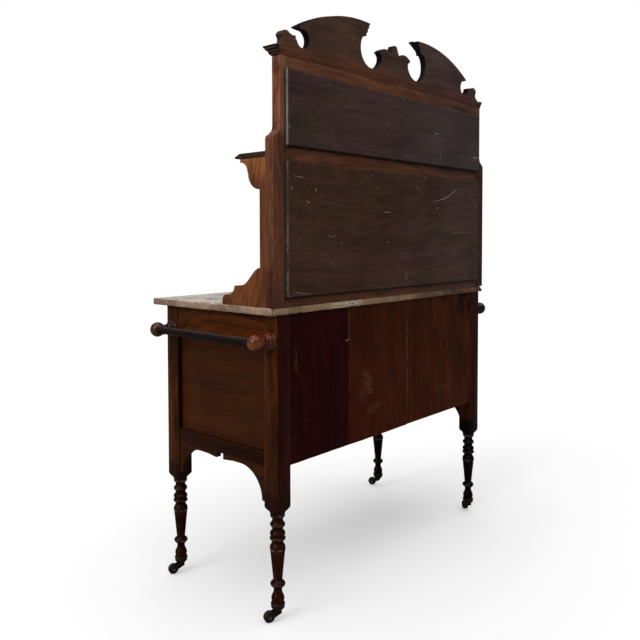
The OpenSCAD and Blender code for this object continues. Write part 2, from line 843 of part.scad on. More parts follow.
module post_leaves_and_pins() {
  color("#7d5d2c") both() for (z = hinge_zs) {
    post_leaf(z);
    hinge_pin(z);
  }
}

// ---- Marble ----

module marble_top() {
  half_w = case_w / 2 + marble_over_side;
  slab_front_y = front_y - marble_over_front;
  r = marble_corner_r;
  color("#d8d2ca") difference() {
    translate([0, 0, case_top_z]) linear_extrude(marble_t) {
      translate([-half_w, slab_front_y + r]) square([2 * half_w, splash_back_y - slab_front_y - r]);
      translate([-half_w + r, slab_front_y]) square([2 * (half_w - r), r + over]);
      for (side = [-1, 1]) translate([side * (half_w - r), slab_front_y + r]) circle(r);
    }
    both() dowel_hole();
  }
}

module splash_dowels() {
  color("#6b4527") both() translate([dowel_x, dowel_y, case_top_z - dowel_len])
    cylinder(r = dowel_r, h = 2 * dowel_len + marble_t);
}

// ---- Towel rails ----

rod_x = case_w / 2 + ball_out;
// Distance from a ball's centre to the flat that the rod's collar sits on
seat = sqrt(ball_r * ball_r - collar_r * collar_r);

// A turned arm along +X from a post's face, with the ball's socket facing +Y
module towel_arm() {
  difference() {
    union() {
      rotate([0, 90, 0]) rotate_extrude() polygon(concat(
        [[0, -spigot_len], [spigot_r, -spigot_len], [spigot_r, 0]],
        bead(0, 6, flange_r - 1.5, flange_r, 6),
        bead(6.5, 5, flange_r * 0.74, flange_r * 0.8, 6),
        bead(12, 4, arm_r + 1, arm_r + 2.5, 6),
        bead(16.5, (ball_out - ball_r) * 0.3, arm_r + 0.5, arm_r - 1, 6),
        [[arm_r, ball_out - ball_r + 2], [0, ball_out]]
      ));
      translate([ball_out, 0, 0]) sphere(ball_r);
    }
    translate([ball_out, seat, 0]) rotate([-90, 0, 0]) cylinder(r = collar_r + fit_gap, h = ball_r);
    translate([ball_out, seat - rod_spigot - fit_gap, 0]) rotate([-90, 0, 0])
      cylinder(r = spigot_r + fit_gap, h = ball_r);
  }
}

module towel_arms() {
  color("#5b2a1a") both() {
    translate([case_w / 2, post_front_y, towel_z]) towel_arm();
    translate([case_w / 2, post_rear_y, towel_z]) mirror([0, 1, 0]) towel_arm();
  }
}

module towel_rods() {
  low_y = post_front_y + seat;
  rod_len = post_rear_y - seat - low_y;
  color("#2a1712") both() translate([rod_x, low_y, towel_z]) rotate([-90, 0, 0])
    rotate_extrude() polygon([
      [0, -rod_spigot], [spigot_r, -rod_spigot], [spigot_r, 0],
      [collar_r, 0], [collar_r, collar_w], [rod_r, collar_w + 14],
      [rod_r, rod_len - collar_w - 14], [collar_r, rod_len - collar_w],
      [collar_r, rod_len], [spigot_r, rod_len],
      [spigot_r, rod_len + rod_spigot], [0, rod_len + rod_spigot]
    ]);
}

// ---- Splash back ----

// Points of a quarter curve that leaves its start along u and reaches its end along v
function quarter_u(u0, v0, u1, v1, n = 6) =
  [for (i = [0:n]) [u0 + (u1 - u0) * sin(90 * i / n), v0 + (v1 - v0) * (1 - cos(90 * i / n))]];

// Points of a quarter curve that leaves its start along v and reaches its end along u
function quarter_v(u0, v0, u1, v1, n = 6) =
  [for (i = [0:n]) [u0 + (u1 - u0) * (1 - cos(90 * i / n)), v0 + (v1 - v0) * sin(90 * i / n)]];

// The lip of an opening along a stile, from height z and h high
module stile_lip(z, h) {
  block([open_half_w - lip_w, frame_front_y, z + lip_w],
        [open_half_w + over, frame_front_y + lip_t, z + h - lip_w]);
}

module splash_stile() {
  nose_w = splash_half_w - step_in / 2;
  color("#4c2a1b") {
    difference() {
      upright(frame_front_y, frame_t) polygon(concat(
        [[open_half_w, stand_h], [splash_half_w, stand_h]],
        quarter_v(splash_half_w, step_z - step_h * 0.53, nose_w, step_z - step_h * 0.21),
        quarter_u(nose_w - over, step_z - step_h * 0.1, upper_half_w, step_z + step_h * 0.47),
        [[upper_half_w, frame_top_z], [open_half_w, frame_top_z]]
      ));
      dowel_hole();
    }
    stile_lip(low_open_z, low_open_h);
    stile_lip(up_open_z, up_open_h);
  }
}

// A rail between the stiles, with a lip below it, above it or both
module splash_rail(z, h, lip_below, lip_above) {
  color("#58301d") {
    block([-open_half_w, frame_front_y, z], [open_half_w, splash_back_y, z + h]);
    lip_y = frame_front_y + lip_t;
    block([-open_half_w, frame_front_y, z - lip_below], [open_half_w, lip_y, z + over]);
    block([-open_half_w, frame_front_y, z + h - over], [open_half_w, lip_y, z + h + lip_above]);
  }
}

module splash_bottom_rail() {
  splash_rail(stand_h, splash_bottom_h, 0, lip_w);
}

module splash_mid_rail() {
  splash_rail(low_open_z + low_open_h, splash_mid_h, lip_w, lip_w);
}

module splash_top_rail() {
  splash_rail(up_open_z + up_open_h, splash_top_h, lip_w, 0);
}

// A backing board behind an opening, with its rear edges chamfered
module backing_board(z, h, lap) {
  low = [-open_half_w - backing_lap_side, z - lap];
  high = [open_half_w + backing_lap_side, z + h + lap];
  chamfer_y = splash_back_y + backing_t - backing_chamfer;
  color("#2e201b") {
    plate(low, high, splash_back_y, chamfer_y);
    tapered(low, high, splash_back_y + backing_t, chamfer_y, backing_chamfer);
  }
}

module lower_backing_board() {
  backing_board(low_open_z, low_open_h, backing_lap_low);
}

module upper_backing_board() {
  backing_board(up_open_z, up_open_h, backing_lap_up);
}

module splash_tiles() {
  y = frame_front_y + lip_t;
  rows = [low_open_z, low_open_z + tile, up_open_z];
  color("#8fa58c") for (z = rows, i = [0:tile_columns - 1])
    translate([(i - tile_columns / 2) * tile + tile_gap / 2, y, z + tile_gap])
      cube([tile - tile_gap, tile_t, tile - tile_gap]);
}

// The plaster beds between the tiles and the backing boards
module tile_beds() {
  x = open_half_w - fit_gap;
  y = frame_front_y + lip_t + tile_t;
  color("#b9b2a4") {
    block([-x, y, low_open_z + fit_gap], [x, splash_back_y, low_open_z + low_open_h - fit_gap]);
    block([-x, y, up_open_z + fit_gap], [x, splash_back_y, up_open_z + up_open_h - fit_gap]);
  }
}

// A wing seen from the side: u is its depth in front of the frame, v its height
function wing_outline() =
  let(
    top = shelf_z - stand_h, foot_d = wing_foot_d, foot_h = wing_foot_h,
    slope_d = foot_d * 0.546
  )
  concat(
    [[0, 0], [foot_d, 0]],
    quarter_v(foot_d, foot_h * 0.22, foot_d * 0.9, foot_h * 0.5),
    quarter_u(foot_d * 0.888, foot_h * 0.5, foot_d * 0.71, foot_h * 0.96),
    [for (i = [0:8]) let(s = i / 8)
      [slope_d + (waist_d - slope_d) * s, foot_h + (waist_z - foot_h) * (1 - cos(180 * s)) / 2]],
    [[waist_d, top - wing_top_h]],
    quarter_u(waist_d * 1.1, top - wing_top_h, wing_top_d * 0.68, top - wing_top_h * 0.45),
    quarter_v(wing_top_d * 0.7, top - wing_top_h * 0.44, wing_top_d, top - wing_top_h * 0.1),
    [[wing_top_d, top], [0, top]]
  );

module splash_wings() {
  color("#7a4526") both() sideways(splash_half_w - wing_t, wing_t)
    polygon([for (p = wing_outline()) [frame_front_y - p[0], stand_h + p[1]]]);
}

module splash_shelf() {
  section = [
    [0, 0], [shelf_d - 20, 0], [shelf_d - 2, 3], [shelf_d, 4.5], [shelf_d - 1, 6.5],
    [shelf_d - shelf_bevel, shelf_t], [0, shelf_t]
  ];
  color("#3a241b") sideways(-splash_half_w, 2 * splash_half_w)
    polygon([for (p = section) [frame_front_y - p[0], shelf_z + p[1]]]);
}

// ---- Cornice and pediment ----

cornice_z = frame_top_z;
cornice_top_z = cornice_z + cornice_h;

// Section of the cornice: how far it stands out, and its height
function cornice_section() = [
  [0, 0], [cornice_out * 0.1, 0], [cornice_out * 0.3, cornice_h * 0.14],
  [cornice_out * 0.42, cornice_h * 0.3], [cornice_out * 0.48, cornice_h * 0.46],
  [cornice_out * 0.7, cornice_h * 0.56],
  [cornice_out * 0.88, cornice_h * 0.78], [cornice_out, cornice_h * 0.84],
  [cornice_out, cornice_h], [0, cornice_h]
];

// The front moulding, mitred at both ends, and a return at each end
module cornice() {
  far = cornice_out + 2;
  color("#33201a") {
    intersection() {
      sideways(-upper_half_w - far, 2 * (upper_half_w + far))
        polygon([for (p = cornice_section()) [frame_front_y - p[0], cornice_z + p[1]]]);
      linear_extrude(cornice_top_z + over) polygon([
        [-upper_half_w, frame_front_y], [-upper_half_w - far, frame_front_y - far],
        [upper_half_w + far, frame_front_y - far], [upper_half_w, frame_front_y]
      ]);
    }
    both() intersection() {
      upright(frame_front_y - far, frame_t + far)
        polygon([for (p = cornice_section()) [upper_half_w + p[0], cornice_z + p[1]]]);
      translate([0, fit_gap, 0]) linear_extrude(cornice_top_z + over) polygon([
        [upper_half_w, frame_front_y], [upper_half_w + far, frame_front_y - far],
        [upper_half_w + far, splash_back_y], [upper_half_w, splash_back_y]
      ]);
    }
  }
}

// The pediment: the places of its outer parts, and the radius of its crest
ear_x = upper_half_w - ear_in;
notch_x = upper_half_w - notch_in;
crest_out_x = upper_half_w - crest_out_in;
crest_r = (pow(crest_out_x - crest_x, 2) + pow(crest_drop, 2)) / (2 * crest_drop);

// Height of the nib where the opening ends, and of the outer tip of the arch
nib_z = eye_z + 33;
tip_z = crest_h - crest_drop - 4;

// Points of a line from a to b in steps, each with a slope and a straight drop
function stepped(a, b, steps) =
  let(run = (b[0] - a[0]) / steps, fall = (b[1] - a[1]) / steps)
  [
    for (i = [0:steps - 1])
      each [a + [run * i, fall * i], a + [run * (i + 1), fall * (i + 0.45)]],
    b
  ];

// The moulded inner end of an arch, from its crest down to the nib
arch_end = stepped([crest_in_x, crest_h - 2], [crest_in_x + arch_lean, nib_z], 3);

// The disc whose rim is the crest of the right arch
module crest_disc(r) {
  translate([crest_x, crest_h - crest_r]) circle(r, $fn = crest_fn);
}

// The field that the right arch takes up, below its crest
module arch_field() {
  polygon([
    [eye_x, 0], [notch_x, 0], [notch_x, tip_z - 2.5], [crest_out_x, tip_z],
    [crest_out_x, crest_h + over], [crest_in_x, crest_h + over],
    each arch_end, [eye_x, nib_z]
  ]);
}

// The right half of the pediment seen from the front, from its lower edge up
module half_pediment() {
  base_h = pediment_base_h;
  difference() {
    union() {
      translate([-over, 0]) square([upper_half_w + over, base_h]);
      intersection() {
        crest_disc(crest_r);
        arch_field();
      }
      ear();
      translate([-over, 0]) square([eye_x + over, eye_z + 6]);
    }
    intersection() {
      translate([eye_x, eye_z]) circle(eye_r);
      square([2 * eye_x, nib_z]);
    }
    translate([notch_x, notch_z]) circle(notch_r);
    translate([ear_x + ear_r + ear_hollow_r / 2, ear_z - 5]) circle(ear_hollow_r);
  }
  leaf_lobes();
}

// An ear: a round lobe that falls away on its inner side
module ear() {
  base_h = pediment_base_h;
  translate([ear_x, ear_z]) circle(ear_r);
  polygon([
    [notch_x, base_h - over], [upper_half_w, base_h - over], [ear_x + ear_r + 3, base_h + 4],
    [ear_x + ear_r - 2.5, ear_z - 3], [ear_x - 4, ear_z + ear_r - 2], [ear_x - 13, ear_z + 13.5],
    [ear_x - 22, ear_z + 10.5], [notch_x + notch_r + 3, ear_z + 12], [notch_x + notch_r + 2, ear_z + 3],
    [notch_x, ear_z]
  ]);
}

// The leaf in the middle, on the right: a side lobe that ends in a tip, and half the top lobe
module leaf_lobes() {
  tip = lobe_reach;
  up = lobe_h;
  translate([0, eye_z]) polygon([
    [-over, -20], [tip * 0.83, -20], [tip * 0.82, -9], [tip * 0.9, -2], [tip, up * 0.12],
    [tip * 0.94, up * 0.35], [tip * 0.87, up * 0.58], [tip * 0.78, up * 0.8], [tip * 0.67, up * 0.95],
    [tip * 0.56, up], [tip * 0.44, up * 0.91], [tip * 0.34, up * 0.72], [tip * 0.25, up * 0.44],
    [tip * 0.18, top_lobe_h * 0.54], [tip * 0.12, top_lobe_h * 0.86], [tip * 0.09, top_lobe_h * 0.97],
    [-over, top_lobe_h]
  ]);
}

module pediment() {
  color("#35221a") translate([0, 0, frame_top_z]) upright(frame_front_y, pediment_t) {
    half_pediment();
    mirror([1, 0, 0]) half_pediment();
  }
}

// Section of an arch moulding: its radius around the crest's centre, and how far it stands out
function moulding_section() =
  let(top = crest_r + moulding_up, h = moulding_h, out = moulding_out)
  [
    [top - h, -over], [top - h, out * 0.3], [top - h * 0.78, out * 0.4], [top - h * 0.6, out * 0.48],
    [top - h * 0.54, out * 0.66], [top - h * 0.28, out * 0.88], [top - h * 0.2, out],
    [top, out], [top, -over]
  ];

// The curved mouldings planted on the front of the two arches
module arch_mouldings() {
  top_z = crest_h + 2 * moulding_up;
  color("#2f1d17") both() translate([0, 0, frame_top_z]) intersection() {
    translate([crest_x, frame_front_y, crest_h - crest_r]) rotate([90, 0, 0])
      rotate_extrude($fn = crest_fn) polygon(moulding_section());
    upright(frame_front_y - moulding_out - over, moulding_out + over) polygon([
      [crest_in_x, top_z], each arch_end, [crest_in_x + arch_lean, 0],
      [crest_out_x - 37, 0], [crest_out_x - 37, tip_z - 3],
      [crest_out_x + moulding_end, tip_z + 8.5], [crest_out_x + moulding_end, top_z]
    ]);
  }
}

// ---- Casters ----

corners = [
  [post_x, post_rear_y], [post_x, post_front_y],
  [-post_x, post_rear_y], [-post_x, post_front_y]
];
cup_bottom_z = caster_h - cup_floor_t;
fork_top_z = cup_bottom_z - slide_gap;
fork_disc_t = 3.2;
fork_in = wheel_w / 2 + cheek_gap;

// Puts a piece that is drawn around the Z axis, trailing along +X, under corner k
module at_corner(k) {
  translate([corners[k][0], corners[k][1], 0]) rotate([0, 0, caster_headings[k]]) children();
}

module caster_cups() {
  color("#3a2f26") for (k = [0:3]) at_corner(k) rotate_extrude() polygon([
    [pintle_r + run_gap, cup_bottom_z], [foot_r - 2, cup_bottom_z],
    [foot_r + cup_wall, cup_bottom_z + 5], [foot_r + cup_wall, caster_h + cup_h - 4],
    [foot_r + cup_wall + 0.8, caster_h + cup_h - 3], [foot_r + cup_wall + 0.8, caster_h + cup_h - 1],
    [foot_r + cup_wall, caster_h + cup_h], [foot_r + fit_gap, caster_h + cup_h],
    [foot_r + fit_gap, caster_h], [pintle_r + run_gap, caster_h]
  ]);
}

// The fork: its disc, its pintle with a riveted head, a bridge and two cheeks
module caster_fork(k) {
  low_z = fork_top_z - fork_disc_t;
  color("#2b221d") at_corner(k) difference() {
    union() {
      translate([0, 0, low_z]) cylinder(r = 10, h = fork_disc_t);
      translate([0, 0, low_z]) cylinder(r = pintle_r, h = caster_h + 1 - low_z);
      translate([0, 0, caster_h + slide_gap]) cylinder(r = pintle_r + 2, h = 2);
      block([-7, -fork_in - cheek_t, low_z - 5], [4, fork_in + cheek_t, low_z + 1]);
      for (y = [-fork_in - cheek_t, fork_in]) upright(y, cheek_t) {
        translate([caster_trail, wheel_r]) circle(6);
        polygon([
          [-7, low_z + 1], [-7, low_z - 5], [caster_trail - 5, wheel_r - 4],
          [caster_trail + 3, wheel_r + 5], [7, low_z + 1]
        ]);
      }
    }
    translate([caster_trail, 0, wheel_r]) rotate([90, 0, 0])
      cylinder(r = axle_r + run_gap, h = 2 * (fork_in + cheek_t + over), center = true);
  }
}

module caster_axle(k) {
  half = fork_in + cheek_t;
  color("#6f675c") at_corner(k) translate([caster_trail, 0, wheel_r]) rotate([90, 0, 0]) {
    cylinder(r = axle_r, h = 2 * half + 2, center = true);
    for (side = [-1, 1]) translate([0, 0, side * (half + 0.5)])
      cylinder(r = axle_r + 1.2, h = 1, center = true);
  }
}

module caster_wheel(k) {
  half = wheel_w / 2;
  bore_r = axle_r + run_gap;
  color("#241a16") at_corner(k) translate([caster_trail, 0, wheel_r]) rotate([90, 0, 0])
    rotate_extrude() polygon([
      [bore_r, -half], [bore_r + 3, -half], [bore_r + 3.5, 1 - half], [wheel_r - 3, 1 - half],
      [wheel_r - 2.5, -half], [wheel_r - 1, -half], [wheel_r, 1.5 - half],
      [wheel_r, half - 1.5], [wheel_r - 1, half], [wheel_r - 2.5, half],
      [wheel_r - 3, half - 1], [bore_r + 3.5, half - 1], [bore_r + 3, half], [bore_r, half]
    ]);
}

// ---- What is drawn ----

module left() {
  mirror([1, 0, 0]) children();
}

left() front_post();  // post_front_left
front_post();  // post_front_right
left() rear_post();  // post_rear_left
rear_post();  // post_rear_right
side_top_rails();
side_bottom_rails();
side_panels();
side_brackets();
back_boards();
inner_back_rails();
front_rails();
drawer_muntin();
cabinet_floor();
drawer_bearers();
marble_top();
splash_dowels();
towel_arms();
towel_rods();
left() drawer_front();  // drawer_front_left
drawer_front();  // drawer_front_right
left() drawer_box();  // drawer_box_left
drawer_box();  // drawer_box_right
left() drawer_knobs();  // drawer_knobs_left
drawer_knobs();  // drawer_knobs_right
left() door_frame();  // door_frame_left
door_frame();  // door_frame_right
left() door_panel();  // door_panel_left
door_panel();  // door_panel_right
left() door_knob();  // door_knob_left
door_knob();  // door_knob_right
left() door_leaves();  // door_leaves_left
door_leaves();  // door_leaves_right
post_leaves_and_pins();
left() splash_stile();  // splash_stile_left
splash_stile();  // splash_stile_right
splash_bottom_rail();
splash_mid_rail();
splash_top_rail();
lower_backing_board();
upper_backing_board();
splash_tiles();
tile_beds();
splash_wings();
splash_shelf();
cornice();
pediment();
arch_mouldings();
caster_cups();
caster_fork(0);  // caster_fork_rear_right
caster_fork(1);  // caster_fork_front_right
caster_fork(2);  // caster_fork_rear_left
caster_fork(3);  // caster_fork_front_left
caster_axle(0);  // caster_axle_rear_right
caster_axle(1);  // caster_axle_front_right
caster_axle(2);  // caster_axle_rear_left
caster_axle(3);  // caster_axle_front_left
caster_wheel(0);  // caster_wheel_rear_right
caster_wheel(1);  // caster_wheel_front_right
caster_wheel(2);  // caster_wheel_rear_left
caster_wheel(3);  // caster_wheel_front_left
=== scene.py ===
"""Dresses the washstand: worn polished wood, scuffed back boards, chipped marble and iron casters.

Metres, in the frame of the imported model: X is the width, -Y is the front, +Z is up.
"""
import functools
import math

import bpy
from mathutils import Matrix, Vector, noise


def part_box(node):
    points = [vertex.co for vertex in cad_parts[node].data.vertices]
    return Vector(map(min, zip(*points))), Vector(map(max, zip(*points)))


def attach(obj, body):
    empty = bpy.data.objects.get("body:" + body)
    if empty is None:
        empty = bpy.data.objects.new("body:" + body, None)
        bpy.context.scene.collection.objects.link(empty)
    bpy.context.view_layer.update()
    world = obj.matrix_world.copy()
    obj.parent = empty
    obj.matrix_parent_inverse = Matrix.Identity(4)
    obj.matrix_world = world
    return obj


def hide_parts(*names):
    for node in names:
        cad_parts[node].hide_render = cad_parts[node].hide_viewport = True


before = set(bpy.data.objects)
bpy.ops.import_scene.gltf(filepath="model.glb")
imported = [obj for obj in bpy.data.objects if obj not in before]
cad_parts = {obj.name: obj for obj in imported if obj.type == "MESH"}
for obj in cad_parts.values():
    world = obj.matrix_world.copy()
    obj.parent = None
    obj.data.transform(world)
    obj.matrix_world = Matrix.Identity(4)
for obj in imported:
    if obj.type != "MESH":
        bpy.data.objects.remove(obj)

bl_info = {
    "name": "Washstand Dressing",
    "version": (1, 0, 0),
    "blender": (4, 5, 0),
    "location": "View3D > Sidebar > Washstand",
    "description": "Gives the packed washstand its eased edges, wear and finishes",
    "category": "Add Mesh",
}

CASE = "case"
SIDES = ("left", "right")
ENDS = ("front", "rear")
CORNERS = [f"{end}_{side}" for end in ENDS for side in SIDES]


# ---- Sizes and colours that a user would change ----

def tone(name, description, value):
    return bpy.props.FloatVectorProperty(
        name=name, description=description, default=value, subtype="COLOR", size=3, min=0, max=1
    )


def amount(name, description, value, **others):
    others.setdefault("min", 0)
    return bpy.props.FloatProperty(name=name, description=description, default=value, **others)


def length(name, description, value):
    return amount(name, description, value, unit="LENGTH", precision=4)


# Each wood's key, the pieces made of it, and the colours of its dark and its light streaks
WOODS = (
    ("post", "posts and legs", (0.0285, 0.0068, 0.0006), (0.0690, 0.0163, 0.0014)),
    ("rail", "side rails and brackets", (0.0367, 0.0094, 0.0012), (0.0887, 0.0227, 0.0029)),
    ("panel", "side panels", (0.0338, 0.0089, 0.0021), (0.0750, 0.0198, 0.0045)),
    ("back", "back boards", (0.0232, 0.0037, 0.0004), (0.0561, 0.0090, 0.0011)),
    ("backing", "backing boards", (0.0504, 0.0261, 0.0202), (0.0874, 0.0450, 0.0351)),
    ("frame", "frame around the tiles", (0.0893, 0.0328, 0.0158), (0.2160, 0.0792, 0.0382)),
    ("wing", "wings", (0.093, 0.0298, 0.0099), (0.225, 0.072, 0.024)),
    ("moulding", "shelf, cornice and pediment", (0.0212, 0.0105, 0.0073), (0.0512, 0.0255, 0.0176)),
    ("inner", "unseen softwood", (0.110, 0.055, 0.024), (0.300, 0.175, 0.085)),
    ("ball", "turned balls", (0.2276, 0.0631, 0.0088), (0.5689, 0.1601, 0.0217)),
)


class WASHSTAND_PG_colours(bpy.types.PropertyGroup):
    # Pale worn wood; also painted highlights on turned crests and on the cornice's right end
    pale_wear_and_highlight: tone("Pale wood", "Pale worn wood of the frame, balls and posts", (0.340, 0.230, 0.170))
    rod_wood: tone("Rods", "Ebonised wood of the towel rods", (0.030, 0.0165, 0.0135))
    worn_wood: tone("Worn edges", "Bare wood where the polish has rubbed off", (0.210, 0.115, 0.062))
    dust: tone("Dust", "Grey dust and old scratches", (0.300, 0.260, 0.220))
    marble_white: tone("Marble", "Ground colour of the slab", (0.640, 0.585, 0.525))
    marble_vein: tone("Marble veins", "Colour of the veins and clouds", (0.260, 0.235, 0.215))
    marble_stain: tone("Marble stain", "Old stain along the edges of the slab", (0.4140, 0.2496, 0.1647))
    marble_stain_dark: tone("Dark stain", "Darkest stain on the slab's edges", (0.2070, 0.1254, 0.0781))
    marble_edge: tone("Marble edge", "Paler, rubbed places on the slab's edges", (0.420, 0.335, 0.260))
    tile_glaze: tone("Tiles", "Glaze of the plain tiles", (0.190, 0.300, 0.190))
    iron: tone("Iron", "Forks and wheels of the casters", (0.022, 0.0165, 0.0125))
    brass: tone("Brass", "Hinges", (0.330, 0.210, 0.075))


for wood_key, wood_pieces, *pair in WOODS:
    for streak, streak_tone in zip(("dark", "light"), pair):
        WASHSTAND_PG_colours.__annotations__[f"{wood_key}_{streak}"] = tone(
            f"{wood_pieces.capitalize()}, {streak}", f"The {streak} streaks of the {wood_pieces}", streak_tone
        )


class WASHSTAND_PG_sizes(bpy.types.PropertyGroup):
    wood_edge: length("Wood edge", "Width of the softened edges of the joinery", 0.0016)
    fine_edge: length("Fine edge", "Width of the softened edges of mouldings", 0.0007)
    backing_edge: length("Board edge", "Width of the worn slope around a backing board", 0.0035)
    backing_chip: length("Board chips", "Depth of the dents in the backing boards' edges", 0.0011)
    marble_edge: length("Marble edge", "Radius of the slab's worn edge", 0.0030)
    marble_chip: length("Marble chips", "Depth of the chips along the slab's rear edge", 0.0042)
    marble_notch: length("Marble notch", "Size of the notch in the slab's rear corners", 0.0060)
    board_edge: length("Back board edge", "Width of the worn edges of the back boards", 0.0012)
    tile_edge: length("Tile edge", "Radius of a tile's glazed edge", 0.0020)
    metal_edge: length("Metal edge", "Width of the softened edges of the casters' forks", 0.0004)


class WASHSTAND_PG_stage(bpy.types.PropertyGroup):
    floor_size: length("Floor size", "Width of the plain floor", 30.0)
    floor_tone: tone("Floor", "Colour of the plain floor", (0.92, 0.92, 0.92))
    backdrop: tone("Backdrop", "Colour behind the stand", (1.0, 1.0, 1.0))
    fill_light: amount("Fill light", "Strength of the even light from all round", 0.46)
    gloss_light: amount("Gloss light", "How bright the room is in reflections", 0.12)
    floor_bounce: amount("Floor bounce", "Share of the floor's colour that lights the stand", 0.18)
    floor_glow: amount("Floor glow", "Share of the floor's tone that no shadow darkens", 0.4, max=1)
    top_light: amount("Top light", "Strength of the broad light from above", 1.9)
    key_light: amount("Key light", "Strength of the soft light on the right end", 1.2)
    camera_place: bpy.props.FloatVectorProperty(
        name="Camera place", description="Where the camera stands",
        default=(1.66441, 1.37194, 0.92628), subtype="TRANSLATION", unit="LENGTH",
    )
    camera_turn: bpy.props.FloatVectorProperty(
        name="Camera turn", description="How the camera is turned",
        default=[math.radians(a) for a in (87.86977, 0.16714, 132.32419)], subtype="EULER",
    )
    camera_lens: amount("Lens", "Focal length in mm, for a sensor 36 mm wide", 39.841, min=1)
    camera_shift: bpy.props.FloatVectorProperty(
        name="Shift", description="Sideways and upward shift of the frame",
        default=(0.03128, -0.08882), size=2,
    )


def colours():
    return bpy.context.scene.washstand_colours


def sizes():
    return bpy.context.scene.washstand_sizes


def stage():
    return bpy.context.scene.washstand_stage


# ---- Short calls for shader nodes ----

def node_sum(operation):
    """A sum or comparison of a Field and a Field or number, made as a node."""
    return lambda first, second=None: first.tree.math(operation, first, second)


class Field:
    """A number, vector or colour that shader nodes work out at each place on a surface."""

    def __init__(self, tree, socket):
        self.tree, self.socket = tree, socket

    __add__ = node_sum("ADD")
    __sub__ = node_sum("SUBTRACT")
    __mul__ = node_sum("MULTIPLY")
    __truediv__ = node_sum("DIVIDE")
    __or__ = node_sum("MAXIMUM")  # The larger number, which joins two masks
    __lt__ = node_sum("LESS_THAN")
    __gt__ = node_sum("GREATER_THAN")
    __abs__ = node_sum("ABSOLUTE")

    def __rsub__(self, other):
        return self.tree.math("SUBTRACT", other, self)

    def clamp(self):
        """The number that a sum or product gives, kept from 0 to 1."""
        self.socket.node.use_clamp = True
        return self

    def step(self, low, high, out_low=0, out_high=1):
        """Goes smoothly from out_low, where this number is low, to out_high, where it is high."""
        return self.tree.out("ShaderNodeMapRange", {0: self, 1: low, 2: high, 3: out_low, 4: out_high},
                             interpolation_type="SMOOTHSTEP")

    def fade(self, low, high):
        """Goes smoothly from 1, where this number is low, to 0, where it is high."""
        return self.step(low, high, 1, 0)

    def split(self):
        parts = self.tree.node("ShaderNodeSeparateXYZ", {0: self}).outputs
        return [Field(self.tree, part) for part in parts]

    def scaled(self, factors):
        return self.tree.out("ShaderNodeVectorMath", {0: self, 1: factors}, operation="MULTIPLY")

    def moved(self, offset):
        return self.tree.out("ShaderNodeVectorMath", {0: self, 1: offset}, operation="ADD")

    def noise(self, scale, detail=3, roughness=0.5, stretch=None):
        """Noise at this place, drawn out along the axes whose stretch is under 1."""
        place = self.scaled(stretch) if stretch else self
        return self.tree.out("ShaderNodeTexNoise", {
            "Vector": place, "Scale": scale, "Detail": detail, "Roughness": roughness,
        })

    def between(self, first, second):
        """The first colour where this share is 0, and the second where it is 1."""
        return self.tree.mix(self, first, second)

    def mix(self, share, other):
        return self.tree.mix(share, self, other)

    def tinted(self, factors):
        return self.tree.mix(1, self, factors, "MULTIPLY")

    def toned(self, share, factors):
        """This colour multiplied by factors, where share says so."""
        return self.mix(share, self.tinted(factors))


class Tree:
    """A shader node tree, with short calls for the nodes that the finishes use."""

    def __init__(self, tree):
        self.tree = tree

    def node(self, kind, inputs=(), **settings):
        made = self.tree.nodes.new(kind)
        for key, value in settings.items():
            setattr(made, key, value)
        for key, value in dict(inputs).items():
            socket = made.inputs[key]
            if isinstance(value, Field):
                self.tree.links.new(value.socket, socket)
            elif value is not None:
                opaque = socket.type == "RGBA" and len(value) == 3
                socket.default_value = (*value, 1) if opaque else value
        return made

    def out(self, kind, inputs=(), output=0, **settings):
        return Field(self, self.node(kind, inputs, **settings).outputs[output])

    def math(self, operation, a, b=None):
        return self.out("ShaderNodeMath", {0: a, 1: b}, operation=operation)

    def mix(self, share, a, b, blend="MIX"):
        return self.out("ShaderNodeMix", {0: share, 6: a, 7: b}, 2, data_type="RGBA", blend_type=blend)

    def vector(self, x, y, z=0):
        return self.out("ShaderNodeCombineXYZ", {0: x, 1: y, 2: z})

    def attribute(self, name):
        return self.out("ShaderNodeAttribute", output="Fac", attribute_name=name)

    def use(self, name, **inputs):
        """The outputs of a shared effect, by name."""
        made = self.node("ShaderNodeGroup", inputs, node_tree=bpy.data.node_groups[name])
        return {part.name: Field(self, part) for part in made.outputs}


def group(name, build, **inputs):
    """A shader node group with an input for each value given. What build returns are its outputs."""
    made = bpy.data.node_groups.new(name, "ShaderNodeTree")
    kinds = {3: "NodeSocketVector", 4: "NodeSocketColor"}
    for key, value in inputs.items():
        kind = kinds[len(value)] if isinstance(value, tuple) else "NodeSocketFloat"
        made.interface.new_socket(key, in_out="INPUT", socket_type=kind).default_value = value
    tree = Tree(made)
    got = tree.node("NodeGroupInput").outputs
    found = build(tree, **{key.lower(): Field(tree, got[key]) for key in inputs})
    for key, field in found.items():
        kind = "NodeSocketColor" if field.socket.type == "RGBA" else "NodeSocketFloat"
        made.interface.new_socket(key, in_out="OUTPUT", socket_type=kind)
    tree.node("NodeGroupOutput", found)


# ---- Effects that several finishes share ----

def grain(t, vector, dark, light, figure, softness):
    """Wood whose fibres run along Z: streaks, growth rings and open pores."""
    sway = vector.noise(3, 2, stretch=(1, 1, 0.35)) - 0.5
    bent = vector.moved(t.vector(sway, sway).scaled(t.vector(figure, figure)))
    streak = bent.noise(190, 5, 0.65, (1, 1, 0.03))
    broad = bent.noise(26, 3, 0.55, (1, 1, 0.05))
    rings = t.math("SINE", bent.noise(5, 1, stretch=(1, 1, 0.1)) * 150)
    pore = vector.noise(1150, 1, stretch=(1, 1, 0.018)).step(0.6, 0.72)
    tonal = rings * (figure * 0.09) + (streak * 0.55 + broad * 0.45)
    spread = softness * 0.5
    colour = tonal.step(0.5 - spread, spread + 0.5).between(dark, light)
    colour = colour.mix(pore * 0.55, colour.mix(0.65, (0, 0, 0)))
    return {"Color": colour, "Height": streak * 0.6 - pore * 0.5, "Pores": pore}


